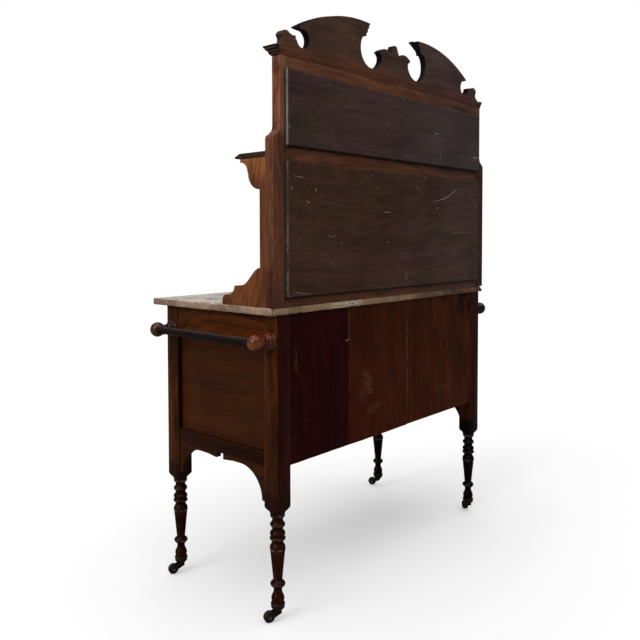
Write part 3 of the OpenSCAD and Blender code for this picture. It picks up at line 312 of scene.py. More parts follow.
def age(t, vector, color, bare, grime, wear):
    """Grime in the hollows and in large patches, and bare wood on the worn edges, partly a painted highlight
    on the crests of turned pieces.
    """
    patches = vector.noise(5, 4, 0.6)
    dirty = patches.step(0.42, 0.7) * grime | t.attribute("hollow") * 0.75
    rubbed = (t.attribute("wear") * vector.noise(85, 3, 0.7).step(0.38, 0.6) * wear).clamp()
    colour = color.mix(dirty, color.mix(0.72, GRIME_AND_SHADOW)).mix(rubbed, bare)
    return {"Color": colour, "Rubbed": rubbed, "Patches": patches}


def scuffs(t, vector):
    """Hairline scratches and paint specks, scattered over a surface."""
    lines = []
    for scale, turn in ((3.1, 0), (5.3, 41)):
        place = vector.moved((turn, turn * 0.7, -turn))
        thin = abs(place.noise(scale, 1) - 0.5).fade(0.0003, 0.0014)
        lines.append(thin * place.noise(23, 2).step(0.62, 0.66))
    cells = t.node("ShaderNodeTexVoronoi", {"Vector": vector, "Scale": 34}).outputs
    chance, size, _ = Field(t, cells["Color"]).split()
    dots = (Field(t, cells["Distance"]) < size * 0.055) * (chance > 0.93)
    return {"Lines": lines[0] | lines[1], "Specks": dots}


def scratch(t, vector, x, z, turn, reach, bow, width):
    """One scratch on the X-Z plane: its middle, its turn, half its length, its bow and its width."""
    place_x, _, place_z = vector.split()
    x, z = place_x - x, place_z - z
    cos, sin = t.math("COSINE", turn), t.math("SINE", turn)
    share = (x * cos + z * sin) / reach
    square = share * share
    off = abs(z * cos - x * sin - square * bow) + (vector.noise(260, 2) - 0.5) * width
    edge = (1.15 - square).clamp() * width
    return {"Mask": off.fade(edge * 0.35, edge) * (square < 1)}


def veins(t, vector):
    """Marble: soft clouds and thin crooked veins."""
    bend = vector.noise(4, 4, 0.6)
    place = vector.moved(t.vector(bend, 0.5 - bend, bend).scaled((0.22, 0.22, 0.1)))
    line = abs(place.noise(5, 3, 0.55, (1, 1.7, 1)) - 0.5)
    return {
        "Clouds": place.noise(6, 5, 0.62).step(0.36, 0.72),
        "Veins": line.fade(0.002, 0.022) * place.noise(3, 1).step(0.4, 0.58),
    }


def build_groups():
    zero, black, white = (0, 0, 0), (0, 0, 0, 1), (1, 1, 1, 1)
    group("Grain", grain, Vector=zero, Dark=black, Light=white, Figure=0.3, Softness=0.3)
    group("Age", age, Vector=zero, Color=black, Bare=black, Grime=0.4, Wear=0.6)
    group("Scuffs", scuffs, Vector=zero)
    group("Scratch", scratch, Vector=zero, X=0, Z=0, Turn=0, Reach=0.02, Bow=0, Width=0.001)
    group("Veins", veins, Vector=zero)


# ---- Finishes ----

MM = 0.001
# Grime in hollows and patches, and also the near-black of the painted shadow under the backing boards
GRIME_AND_SHADOW = (0.004, 0.003, 0.003)
CLOUDY_MARK = 3.5  # A mark that is wider, in mm, is broken up as a rubbed patch is
GRAIN_TURN = {"X": (0, math.radians(-90), 0), "Y": (math.radians(90), 0, 0), "Z": (0, 0, 0)}


def times(colour, factor):
    return [v * factor for v in colour]


def new_finish(name):
    """The node tree of a new finish, and the place on the surface that its patterns start from."""
    made = bpy.data.materials.new(name)
    made.use_nodes = True
    made.node_tree.nodes.clear()
    t = Tree(made.node_tree)
    t.finish = made
    return t, t.out("ShaderNodeTexCoord", output="Object")


def shade(t, colour, roughness, height=None, bump=0.3, depth=0.001, **others):
    """Ends a finish with its shader. others are values of the shader's own sockets."""
    if height is not None:
        others["Normal"] = t.out("ShaderNodeBump", {"Strength": bump, "Distance": depth, "Height": height})
    others = {key.replace("_", " "): value for key, value in others.items()}
    shader = t.out("ShaderNodeBsdfPrincipled", {"Base Color": colour, "Roughness": roughness, **others})
    t.node("ShaderNodeOutputMaterial", {"Surface": shader})
    return t.finish


def wood(name, dark, light, axis="Z", figure=0.25, softness=0.32, gloss=0.42, grime=0.35, wear=0.6,
         coat=0.04, shift=(0, 0, 0), scuffed=0, marks=(), mark_tone=None, bare=None, tint=None):
    """A polished or stained wood. tint changes the colour by place, marks are scratches given one by one."""
    t, place = new_finish(name)
    fibre = t.out("ShaderNodeMapping", {"Vector": place, "Location": shift, "Rotation": GRAIN_TURN[axis]})
    pattern = t.use("Grain", Vector=fibre, Dark=dark, Light=light, Figure=figure, Softness=softness)
    colour = tint(place, pattern["Color"]) if tint else pattern["Color"]
    bare = bare or colours().worn_wood
    aged = t.use("Age", Vector=place, Color=colour, Bare=bare, Grime=grime, Wear=wear)
    rough = aged["Rubbed"] * 0.25 + (pattern["Pores"] * 0.12 + gloss)
    rough = ((aged["Patches"] - 0.5) * 0.3 + rough).clamp()
    masks = []
    if scuffed:
        found = t.use("Scuffs", Vector=place)
        masks = [(found["Lines"] * scuffed).clamp(), found["Specks"] * (0.85 * min(1, scuffed * 2))]
    cloud = place.noise(380, 3, stretch=(1, 1, 0.3)).step(0.4, 0.66)
    for x, z, turn, reach, bow, width, strength in marks:
        one = t.use("Scratch", Vector=place, X=x * MM, Z=z * MM, Turn=turn, Reach=reach * MM, Bow=bow * MM,
                    Width=width * MM)["Mask"] * strength
        masks.append(one * cloud if width > CLOUDY_MARK else one)
    colour, height = aged["Color"], pattern["Height"]
    if masks:
        mask = functools.reduce(Field.__or__, masks)
        colour = colour.mix(mask, mark_tone or colours().dust)
        rough = (mask * 0.3 + rough).clamp()
        height = height - mask * 0.8
    return shade(t, colour, rough, height, 0.35, 0.0006,
                 Coat_Weight=coat, Coat_Roughness=0.22, Specular_IOR_Level=0.06)


# Scratches, given one by one: x, z, turn in radians, half length, bow, width and strength. Lengths are in mm,
# and the strength is the share of the scratch's own colour.
UPPER_MARKS = (
    (-192, 1234, -0.27, 13, -5, 2.2, 0.9),
    (-213, 1233, 0.47, 10, 0, 1.4, 0.7),
    (-218, 1176, -1.5, 18, 1, 1.1, 0.5),
    (-436, 1181, 0.03, 20, 1, 2.4, 0.9),
    (-41, 1154, 0.01, 30, 0, 4, 0.3),
    (191, 1265, 1.24, 5, 0, 1.8, 0.7),
    (344, 1230, 0.23, 4, 0, 1.6, 0.6),
    (258, 1284, 0.6, 4, 0, 1.6, 0.5),
    (305, 1302, 0.17, 5, 0, 1.4, 0.5),
    (-17, 1312, 0.08, 6, 0, 1.6, 0.6),
    (452, 1183, 1.1, 4, 0, 2.6, 0.9),
    (365, 1305, 0.46, 4, 0, 1, 0.4),
)
LOWER_MARKS = (
    (-259, 1048, -0.33, 74, 10, 1.7, 0.95),
    (420, 1069, 0.05, 18, 0, 1.2, 0.8),
    (444, 1041, 1.43, 5, 0, 2.2, 0.7),
    (358, 1040, 0.81, 5, 1, 2.6, 0.8),
    (386, 1010, 0.29, 8, 1, 2.2, 0.8),
    (-201, 1012, -0.45, 8, 0, 2.6, 0.85),
    (60, 993, 0.04, 20, 0, 1.4, 0.8),
    (-367, 939, -0.02, 99, 0, 0.7, 0.5),
    (306, 928, 0.41, 10, 2, 1.4, 0.7),
    (289, 927, -0.27, 9, 0, 1.2, 0.6),
    (259, 911, -0.67, 3, 0, 1.8, 0.8),
    (57, 910, -0.27, 6, 1, 1.5, 0.6),
    (-91, 1065, 1.48, 7, 0, 1.3, 0.6),
    (-402, 1060, 1.46, 10, 0, 1.6, 0.6),
    (128, 1091, 1.46, 4, 0, 1.8, 0.6),
    (105, 1058, 1.47, 5, 0, 1.4, 0.5),
    (-133, 1096, 0.52, 9, 0, 1.6, 0.6),
    (412, 791, 0.18, 32, 1, 1, 0.7),
    (88, 786, 1.2, 5, 0, 1.6, 0.6),
    (45, 772, 0.39, 6, 0, 1.8, 0.7),
    (-417, 881, 0.64, 4, 0, 1.6, 0.6),
    (278, 1007, 0.08, 33, 0, 1, 0.35),
    (-175, 1032, 0.31, 18, 0, 1, 0.5),
    (268, 984, 0.69, 8, 1, 1.2, 0.4),
    (365, 1098, 1.01, 3, 0, 1.2, 0.5),
)
BACK_MARKS = (
    (210, 699, 1.52, 40, 1, 2.6, 0.5),
    (214, 656, -0.22, 11, 1, 3.4, 0.9),
    (208, 748, 1.47, 12, 0, 2.2, 0.5),
    (-62, 575, 1.57, 176, 0, 3.6, 0.85),
    (416, 624, 1.43, 34, 4, 10, 0.3),
    (128, 530, 1.15, 40, 2, 26, 0.42),
    (150, 505, -1.2, 30, 2, 16, 0.25),
    (96, 455, -0.3, 32, 2, 16, 0.28),
    (-262, 455, -0.13, 45, 4, 13, 0.25),
    (-90, 681, 0.69, 10, 0, 1.8, 0.3),
    (380, 477, 0.61, 20, 4, 1.2, 0.15),
    (262, 666, -0.52, 20, 2, 1, 0.12),
    (416, 438, 0.04, 18, 0, 1, 0.2),
)


# Where the finishes change, in metres: each change begins at the first place and ends at the second.
LEFT_HALF = (-0.1, 0.1)  # Along X
FRONT_HALF = (-0.02, 0.02)  # Along Y
POST_FOOT = (0.3, 0.33)  # The rest lie along Z: here a turned leg becomes a square post
BOARD_TOP = (0.66, 0.7)
STILE_FOOT = (0.87, 0.91)
WING_TOP = (1.04, 1.1)
BACKING_JOINT = (1.12, 1.14)
MIDDLE_RAIL = (1.155, 1.185)
STILE_TOP = (1.322, 1.342)


def facing(place, normal="True Normal"):
    """The way that the surface faces, as X, Y and Z."""
    return place.tree.out("ShaderNodeNewGeometry", output=normal).split()


def post_tint(place, colour):
    """The square posts are painted golden at their sides as lit, and darker and redder at the back as painted
    shade. The front posts and the turned legs are darker, and the turned legs at the left end are painted
    nearly black as shade."""
    x, y, z = place.split()
    face_x, face_y, _ = facing(place)
    square = z.step(*POST_FOOT)
    turned = 1 - square
    golden = place.noise(22, 3, stretch=(1, 1, 0.25)).step(0.32, 0.54)
    # Painted light: golden patches on the side faces, as where the light falls
    colour = colour.toned(abs(face_x).step(0.85, 0.98) * square * golden, (2.5, 2.3, 0.3))
    colour = colour.toned(square * y.fade(*FRONT_HALF), (0.62, 0.74, 1))
    colour = colour.toned(turned, (0.5, 0.34, 0.8))
    # Painted shade: the turned legs at the left end are darkened nearly to black
    colour = colour.toned(turned * x.fade(*LEFT_HALF), (0.3, 0.3, 0.4))
    # Painted shade: the backs of the square posts are darker and redder
    return colour.toned(face_y.step(0.6, 0.9) * square, (0.78, 0.42, 0.9))


def ball_tint(place, colour):
    """The balls at the left end are painted nearly black as shade. All are painted darker and redder on top,
    and darker underneath and behind, as shade, and are darker at the front pair and where they meet their
    arms."""
    x, y, _ = place.split()
    _, face_y, face_z = facing(place)
    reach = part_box("towel_arms")[1].x
    # Painted shade: the undersides are darker
    colour = colour.toned(face_z.step(-0.45, -0.9), (0.35, 0.3, 0.3))
    # Painted shade: the tops are darker and redder
    colour = colour.toned(face_z.step(-0.1, 0.5), (0.55, 0.3, 0.42))
    # Painted shade: the sides that face back are darker
    colour = colour.toned(face_y.step(0, 0.85), (0.5, 0.38, 0.42))
    colour = colour.toned(abs(x).fade(reach - 0.042, reach - 0.034), (0.5, 0.38, 0.48))
    colour = colour.toned(y.fade(*FRONT_HALF), (0.5, 0.42, 0.6))
    # Painted shade: the balls at the left end are darkened nearly to black
    return colour.toned(x.fade(*LEFT_HALF), (0.12, 0.14, 0.25))


def rod_tint(place, colour):
    """The rods are painted paler on top as a highlight, and black underneath as shade."""
    upward = facing(place)[2]
    # Painted shade: the undersides are darkened
    colour = colour.toned(upward.step(0.2, -0.5), (0.35, 0.28, 0.28))
    # Painted highlight: the tops are made paler
    return colour.mix(upward.step(0.45, 0.95, 0, 0.7), (0.05, 0.036, 0.037))


def wing_tint(place, colour):
    """The wings are dark along their sawn edges, and paler and less red in their upper part."""
    colour = colour.toned(abs(facing(place)[0]).fade(0.8, 0.95), (0.25, 0.28, 0.25))
    return colour.toned(place.split()[2].step(*WING_TOP), (1.65, 1.85, 1.9))


def rail_tint(place, colour):
    """Short bright flecks, as in quarter-sawn wood, and broader light patches."""
    fleck = place.noise(330, 2, stretch=(1, 0.22, 1)).step(0.56, 0.66)
    where = place.noise(14, 2, stretch=(1, 0.5, 1)).step(0.42, 0.6, 0.25, 1)
    patch = place.noise(26, 2, stretch=(1, 0.3, 1)).step(0.4, 0.62)
    return colour.toned(fleck * where, (1.9, 1.8, 1.5)).toned(patch, (1.35, 1.3, 1.2))


def stile_tint(place, colour):
    """The stiles are darker near the marble, with painted shade at the left end and on their faces other
    than the sides, and painted highlights in patches on their sides. They are lighter and streaked above the
    middle rail, where their sides are darker in patches, and they are scuffed at the top."""
    x, _, z = place.split()
    upper = z.step(*MIDDLE_RAIL)
    side = abs(facing(place)[0]).step(0.6, 0.9)
    # Painted shade: the faces other than the sides are a little darker
    colour = colour.toned(1 - side, (0.97, 0.97, 1))
    # Painted shade: the left end is darker
    colour = colour.toned(x.fade(-0.3, -0.2), (0.4, 0.38, 0.5))
    foot = (place.noise(30, 2) * 0.06 + z).fade(*STILE_FOOT)
    colour = colour.toned(side * foot, (0.58, 0.46, 0.55))
    # Painted highlight: brighter patches on the side faces
    glow = place.noise(30, 3, stretch=(1, 1, 0.3)).step(0.46, 0.62)
    colour = colour.toned(side * glow, (1.35, 1.25, 1.05))
    colour = colour.toned(upper, side.between((1.9, 2.1, 2.1), (1.3, 1.27, 1.32)))
    streak = place.noise(85, 3, stretch=(1, 1, 0.16)).step(0.44, 0.64)
    colour = colour.toned(upper * (streak * side), (1.5, 1.45, 1.3))
    dark_patch = place.noise(46, 3, stretch=(1, 1, 0.5)).step(0.5, 0.66)
    colour = colour.toned(upper * side * dark_patch, (0.48, 0.42, 0.5))
    scuff = z.step(*STILE_TOP) * place.noise(170, 3).step(0.56, 0.64)
    return colour.mix(scuff * 0.4, colours().pale_wear_and_highlight)


def frame_rail_tint(place, colour):
    """The level members of the frame are greyer towards the left end."""
    return colour.toned(place.split()[0].fade(-0.38, 0), (0.78, 0.84, 1.05))


def moulding_tint(place, colour):
    """Mouldings are darker at their ends, and darker underneath as painted shade. The cornice's right end
    has pale bands painted as highlights on its fillets.
    """
    z = place.split()[2]
    face_x, _, face_z = facing(place)
    # Painted shade on the undersides; the ends are darker as well
    colour = colour.toned(abs(face_x).step(0.5, 0.8) | face_z.step(-0.1, -0.5), (0.42, 0.36, 0.42))
    low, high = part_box("cornice")
    bands = 3.4
    level = (z - low.z) * (bands / (high.z - low.z))
    # Painted highlight: pale bands across the cornice's right end, on its fillets
    fillet_highlight = abs(place.tree.math("FRACT", level) - 0.5).fade(0.08, 0.2)
    end = face_x.step(0.5, 0.8) * z.fade(high.z, high.z + 0.001)
    return colour.mix(fillet_highlight * end * 0.5, colours().pale_wear_and_highlight)


def pediment_tint(place, colour):
    """The pediment is redder near its foot and bluer at the left, and its sawn edges are nearly black,
    least of all at the right end."""
    x, _, z = place.split()
    low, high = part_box("pediment")
    level = place.noise(16, 3, stretch=(0.5, 1, 1)) * 0.05 + z
    colour = colour.tinted((2.35, 2.45, 2.3))
    colour = colour.toned(x.fade(-0.3, 0.2), (0.95, 1.05, 1.45))
    colour = colour.toned(level.fade(low.z + 0.030, low.z + 0.085), (1.7, 1.15, 0.85))
    sawn = abs(facing(place)[1]).fade(0.3, 0.6) * x.step(high.x - 0.030, high.x - 0.020, 1, 0.3)
    return colour.mix(sawn, (0.006, 0.004, 0.005))


def backing_tint(place, colour):
    """A backing board is cloudy, redder low down and greyer high up and to the left. It is specked with
    pale paint, its right end is rubbed grey, and its underside and lowest strip are painted black as shadow."""
    x, y, z = place.split()
    face_x, _, face_z = facing(place)
    cloudy = place.noise(9, 4, 0.6, (0.5, 1, 1)).step(0.36, 0.6)
    colour = cloudy.between(colour.tinted((1.06, 0.94, 1.02)), colour.tinted((1, 1.04, 0.84)))
    upper = z.step(*BACKING_JOINT)
    colour = colour.tinted(upper.between((1, 0.9, 0.76), (1.04, 1.12, 1.3)))
    colour = colour.toned(x.fade(-0.36, 0.12), (1.15, 1.36, 1.75))
    ruddy = place.noise(14, 4, 0.6, (0.6, 1, 2.4)).step(0.55, 0.72)
    colour = colour.toned(ruddy * 0.7, (1.28, 1.02, 0.88))
    blot = place.noise(38, 3, 0.6)
    end = face_x.step(0.45, 0.7)
    colour = colour.mix(end, (0.038, 0.034, 0.028))
    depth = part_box("lower_backing_board")[1].y - y
    rubbed = depth.fade(0.0030, 0.0062) * blot.step(0.3, 0.52, 0.45, 1)
    colour = colour.mix(end * rubbed * blot.step(0.46, 0.6, 0.25, 1), (0.15, 0.122, 0.102))
    colour = colour.mix(end * rubbed * upper, (0.25, 0.24, 0.235))
    speck = place.noise(300, 1).step(0.685, 0.72) * place.noise(13, 3).step(0.46, 0.6, 0.12, 1)
    colour = colour.mix(speck * 0.55, colours().pale_wear_and_highlight)
    feet = [[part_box(f"{level}_backing_board")[0].z] * 3 for level in ("lower", "upper")]
    above = z - upper.between(*feet).split()[2]
    # Painted shadow: the underside and the lowest few mm of each board are made nearly black
    return colour.mix(face_z.step(-0.2, -0.5) | above.fade(0.0035, 0.0060), GRIME_AND_SHADOW)


def board_tints(place, colour):
    """The three back boards differ: the one at the right end is maroon, the other two are warmer, with
    golden patches on the left one and dark stains at the top of its left end."""
    x, _, z = place.split()
    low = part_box("back_boards")[0].x
    left_seam, right_seam = low / 7, -low / 2.1
    warm = colour.tinted((1.55, 1.6, 0.6))
    warm = warm.toned((right_seam - x).fade(0, 0.16) * 0.8, (0.8, 0.62, 0.8))
    colour = (x > right_seam).between(warm, colour.tinted((0.68, 0.05, 0.06)))
    golden = place.noise(20, 4, stretch=(1, 1, 0.3)).step(0.48, 0.62)
    colour = colour.toned((x < left_seam) * golden, (1.25, 1.45, 0.8))
    stain = place.noise(24, 3, stretch=(1, 1, 0.6)).step(0.5, 0.58)
    return colour.toned(stain * z.step(*BOARD_TOP) * x.fade(-0.34, -0.3), (0.3, 0.28, 0.4))


def marble():
    """Veined marble, stained near its rim, with dirty, pitted and chipped edges."""
    t, place = new_finish("worn marble")
    c = colours()
    pattern = t.use("Veins", Vector=place)
    colour = (pattern["Clouds"] * 0.55).between(c.marble_white, c.marble_vein)
    colour = colour.mix(pattern["Veins"] * 0.9, t.mix(0.4, c.marble_vein, (0.03, 0.025, 0.02)))
    low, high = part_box("marble_top")
    x, y, _ = place.split()
    rims = [abs(x - high.x), abs(x - low.x), abs(y - high.y), abs(y - low.y)]
    near = functools.reduce(Field.__or__, [distance.fade(0, 0.045) for distance in rims])
    blot = place.noise(26, 4, 0.65)
    stain = near * 0.6 * blot.step(0.42, 0.62)
    colour = colour.mix(stain, c.marble_stain)

    # The front and side edges
    upward = facing(place, "Normal")[2]
    edge = upward.fade(0.35, 0.95)
    rubbed = place.noise(11, 5, 0.6, (1, 1, 2.2)).step(0.34, 0.66)
    rubbed = rubbed.between(c.marble_stain_dark, c.marble_stain)
    rubbed = rubbed.mix(place.noise(48, 3, 0.6).step(0.56, 0.72, 0, 0.6), c.marble_edge)

    # The rear edge: dirty to the left, and bright with crumbs where it is broken
    break_x = 0.222
    side = (high.y - y).step(0.004, 0.010)
    ragged = place.noise(12, 3) * 0.16 + (x - 0.08)
    dirty = ragged.fade(-0.34, 0.11)
    behind = rubbed.toned(dirty, (0.42, 0.25, 0.16))
    bright = abs(ragged - 0.225).fade(0.05, 0.11) * place.noise(60, 3, 0.6).step(0.42, 0.56, 0.25, 0.9)
    behind = behind.mix(bright, (0.56, 0.47, 0.37)).tinted((1.08, 1.02, 0.76))
    broken = abs(x - break_x).fade(0.035, 0.075)
    crumbs = place.noise(230, 3, 0.7)
    behind = behind.mix(broken * crumbs.step(0.47, 0.56), (0.95, 0.8, 0.58))
    behind = behind.mix(broken * crumbs.step(0.46, 0.42), (0.03, 0.02, 0.012))
    colour = colour.mix(edge, side.between(behind, rubbed))

    # Pits, grains and fresh chips, and the crack across each notched corner
    pits = place.noise(250, 3, 0.65, (1, 1, 1.8)).step(0.53, 0.58) * edge
    colour = colour.mix(pits * 0.5, (0.045, 0.03, 0.021))
    clean = 1 - dirty * (1 - side)
    grains = place.noise(210, 2, 0.6, (1, 1, 1.6)).step(0.56, 0.6) * edge * (clean * 0.38 + 0.07)
    colour = colour.mix(grains, c.marble_edge)
    fresh = t.attribute("chip") * place.noise(130, 2).step(0.4, 0.6)
    colour = colour.mix(fresh * 0.45, c.marble_edge)
    corner = high.x + high.y
    skew = abs(abs(x) - y - (high.x - high.y))
    crack = skew.fade(0.0010, 0.0030) * (abs(x) + y).step(corner - 0.028, corner - 0.024)
    crack = crack * upward.fade(0.8, 0.95)
    colour = colour.mix(crack * 0.85, (0.02, 0.014, 0.01))
    rough, height = (stain | edge) * 0.35 + 0.34, blot * 0.4 - pits
    return shade(t, colour, rough, height, 0.4, 0.0007, Specular_IOR_Level=0.4)


def glaze():
    """Green glaze, pooled and crazed, and paler where a tile's edge is worn."""
    t, place = new_finish("tile glaze")
    green = colours().tile_glaze
    pool = place.noise(9, 3, 0.55)
    colour = pool.step(0.3, 0.75).between(green, t.mix(0.35, green, (0.55, 0.6, 0.42)))
    to_crack = t.out("ShaderNodeTexVoronoi", {"Vector": place, "Scale": 190}, "Distance",
                     feature="DISTANCE_TO_EDGE")
    craze = to_crack.fade(0, 0.035) * pool.step(0.4, 0.6)
    colour = colour.mix(craze * 0.4, (0.09, 0.08, 0.05)).mix(t.attribute("wear") * 0.5, (0.42, 0.44, 0.34))
    return shade(t, colour, craze * 0.2 + 0.1, place.noise(16, 1), 0.3, 0.0012,
                 Coat_Weight=0.6, Coat_Roughness=0.06)


def plaster():
    t, place = new_finish("plaster")
    lumps = place.noise(60, 5, 0.6)
    colour = lumps.step(0.3, 0.7).between((0.36, 0.33, 0.27), (0.5, 0.47, 0.4))
    return shade(t, colour, lumps * 0.1 + 0.85, lumps, 0.6, 0.002)


def metal(name, base, bright, shine, metallic, roughness):
    """An old metal: dark patina, with brighter metal on worn edges and raised places."""
    t, place = new_finish(name)
    patina = place.noise(190, 4, 0.65)
    worn = t.attribute("wear") * place.noise(320, 2).step(0.35, 0.6) * shine
    colour = patina.step(0.35, 0.7).between(base, times(base, 0.45)).mix(worn, bright)
    rough = (patina * 0.25 + (roughness - 0.1) - worn * 0.2).clamp()
    return shade(t, colour, rough, patina, 0.3, 0.0004, Metallic=(worn * (1 - metallic) + metallic).clamp())


def build_finishes():
    """All finishes by name. The grain runs along each piece's length."""
    build_groups()
    c = colours()
    rail = dict(dark=c.rail_dark, light=c.rail_light)
    frame_wood = dict(dark=c.frame_dark, light=c.frame_light, coat=0.06, bare=c.pale_wear_and_highlight, wear=0.8,
                      figure=0.3)
    dark = dict(dark=c.moulding_dark, light=c.moulding_light, axis="X")
    inner = dict(dark=c.inner_dark, light=c.inner_light, gloss=0.7, coat=0, wear=0.3)
    turned_wood = dict(figure=0.4, gloss=0.3, grime=0.5, bare=c.pale_wear_and_highlight)
    backing = dict(dark=c.backing_dark, light=c.backing_light, axis="X", gloss=0.4, coat=0.08, wear=0.1,
                   scuffed=0.3, tint=backing_tint)
    return {
        "post": wood("post wood", c.post_dark, c.post_light, figure=0.2, gloss=0.36, grime=0.45, wear=1,
                     coat=0.05, bare=times(c.pale_wear_and_highlight, 0.6), tint=post_tint),
        "rail": wood("side rail wood", **rail, axis="Y", figure=0.5, softness=0.22, gloss=0.36,
                     shift=(0.4, 0, 0.2), tint=rail_tint),
        "low_rail": wood("lower rail wood", times(c.post_dark, 0.33), times(c.post_light, 0.37), axis="Y",
                         figure=0.3, wear=0.15, shift=(0.2, 0, 0)),
        "bracket": wood("bracket wood", times(c.rail_dark, 0.6), times(c.rail_light, 0.65), axis="Y",
                        figure=0.3, grime=0.6, wear=0.3, shift=(0.9, 0.1, 0)),
        "panel": wood("side panel wood", c.panel_dark, c.panel_light, axis="Y", figure=0.12, softness=0.5,
                      grime=0.4, gloss=0.38),
        "back": wood("back board stain", c.back_dark, c.back_light, figure=0.35, gloss=0.46, wear=0.22,
                     coat=0, scuffed=0.25, marks=BACK_MARKS, mark_tone=c.worn_wood, tint=board_tints),
        "backing_low": wood("lower backing stain", marks=LOWER_MARKS, **backing),
        "backing_up": wood("upper backing stain", marks=UPPER_MARKS, shift=(0, 0, 0.7), **backing),
        "inner": wood("inner softwood", axis="X", **inner),
        "inner_deep": wood("inner softwood, front to back", axis="Y", **inner),
        "front_x": wood("front wood, level", **rail, axis="X", figure=0.5, shift=(0.1, 0.3, 0)),
        "front_z": wood("front wood, upright", **rail, figure=0.4, shift=(0.6, 0, 0.3)),
        "front_panel": wood("door panel wood", **rail, axis="X", figure=0.9, shift=(0.2, 0.5, 0)),
        "ball": wood("turned ball wood", c.ball_dark, c.ball_light, axis="X", coat=0.7, wear=1,
                     tint=ball_tint, **turned_wood),
        "knob": wood("turned knob wood", times(c.ball_dark, 0.45), times(c.ball_light, 0.5), axis="Y",
                     coat=0.3, wear=0.4, **turned_wood),
        "rod": wood("ebonised rod", times(c.rod_wood, 0.3), times(c.rod_wood, 0.5), axis="Y", gloss=0.32,
                    coat=0.1, wear=0.3, tint=rod_tint),
        "stile": wood("frame wood, upright", tint=stile_tint, **frame_wood),
        "frame_rail": wood("frame wood, level", axis="X", shift=(0, 0.2, 0.5), tint=frame_rail_tint,
                           **frame_wood),
        "wing": wood("wing wood", c.wing_dark, c.wing_light, figure=0.5, softness=0.4, tint=wing_tint),
        "shelf": wood("shelf wood", figure=0.3, **dark),
        "cornice": wood("cornice wood", figure=0.2, shift=(0, 0, 0.3), wear=0.8, tint=moulding_tint, **dark),
        "pediment": wood("pediment wood", figure=0.15, softness=0.45, gloss=0.5, shift=(0, 0, 0.9),
                         tint=pediment_tint, **dark),
        "marble": marble(),
        "tile": glaze(),
        "plaster": plaster(),
        "brass": metal("aged brass", c.brass, (0.62, 0.45, 0.18), 0.9, 0.9, 0.42),
        "cup": metal("cup metal", (0.03, 0.017, 0.012), (0.2, 0.14, 0.11), 0.7, 0.55, 0.42),
        "iron": metal("caster iron", c.iron, (0.12, 0.1, 0.085), 0.6, 0.7, 0.5),
        "axle": metal("axle steel", (0.22, 0.2, 0.18), (0.5, 0.48, 0.45), 0.8, 0.95, 0.35),
        "wheel": wood("wheel wood", c.iron, (0.035, 0.02, 0.013), axis="Y", gloss=0.4, wear=0.4),
    }


FINISH = {}


def finish(name):
    if not FINISH:
        FINISH.update(build_finishes())
    return FINISH[name]


# ---- Short calls for modelling ----

ON_FACE = 1e-5  # Points nearer than this are taken as one, and those less deep as on the face


def to_object_mode():
    if bpy.context.object and bpy.context.object.mode != "OBJECT":
        bpy.ops.object.mode_set(mode="OBJECT")


def only(obj):
    """Selects obj alone and makes it the active object, in object mode."""
    to_object_mode()
    bpy.ops.object.select_all(action="DESELECT")
    obj.select_set(True)
    bpy.context.view_layer.objects.active = obj


def edit(obj, kind):
    """Opens obj in edit mode to pick vertices or edges, with none picked yet."""
    only(obj)
    bpy.ops.object.mode_set(mode="EDIT")
    bpy.ops.mesh.select_mode(type=kind)
    bpy.ops.mesh.select_all(action="DESELECT")


def sharp_edges(obj, angle, keep=None):
    """Selects obj's sharp edges, those alone that keep passes, and opens it in edit mode."""
    edit(obj, "EDGE")
    bpy.ops.mesh.edges_select_sharp(sharpness=math.radians(angle))
    to_object_mode()
    if keep:
        edges, points = obj.data.edges, obj.data.vertices
        chosen = [e.index for e in edges if e.select and keep(*(points[i].co for i in e.vertices))]
        edit(obj, "EDGE")
        to_object_mode()
        for index in chosen:
            obj.data.edges[index].select = True
    bpy.ops.object.mode_set(mode="EDIT")


def soften(obj, width, segments=2, angle=32, keep=None):
    sharp_edges(obj, angle, keep)
    bpy.ops.mesh.bevel(offset=width, segments=segments, affect="EDGES", clamp_overlap=True)
    to_object_mode()
    note_wear(obj, width)


def smooth(obj, angle=32):
    only(obj)
    bpy.ops.object.shade_smooth_by_angle(angle=math.radians(angle))


def values(obj, name):
    """A number for every vertex of obj, that its finish can read."""
    return obj.data.attributes.get(name) or obj.data.attributes.new(name, "FLOAT", "POINT")


def note_wear(obj, width):
    """Writes wear on the vertices with only narrow faces around them, as on the crest of a rounded edge."""
    points = [v.co for v in obj.data.vertices]
    wear = [1.0] * len(points)
    for face in obj.data.polygons:
        corners = list(face.vertices)
        longest = max((points[a] - points[b]).length for a, b in zip(corners, corners[1:] + corners[:1]))
        if face.area > longest * width:
            for index in corners:
                wear[index] = 0.0
    values(obj, "wear").data.foreach_set("value", wear)


def note_turning(obj, axis, centre, window, depth, test):
    """Writes the crests of a turned piece, as wear that is partly real and partly a painted highlight, and
    its dirty hollows, from its outline in steps of a mm.

    window is how far along the axis, in mm, a place is compared with its neighbours."""
    along = "xyz".index(axis)
    turned_part = [vertex for vertex in obj.data.vertices if test(vertex.co)]
    radii = {}
    for vertex in turned_part:
        across = [(vertex.co[i] - centre[i]) for i in range(3) if i != along]
        key = round(vertex.co[along] / MM)
        radii[key] = max(radii.get(key, 0), math.hypot(*across))
    wear, hollow = values(obj, "wear"), values(obj, "hollow")
    for vertex in turned_part:
        key = round(vertex.co[along] / MM)
        near = [radii[key + i] for i in range(-window, window + 1) if key + i in radii]
        own = radii[key]
        hollow.data[vertex.index].value = min((max(near) - own) / depth, 1)
        crest = own >= max(near) and max(near) - min(near) > depth * 0.3
        # The crests' wear is partly a painted highlight along the rings
        wear.data[vertex.index].value = 0.7 if crest else 0


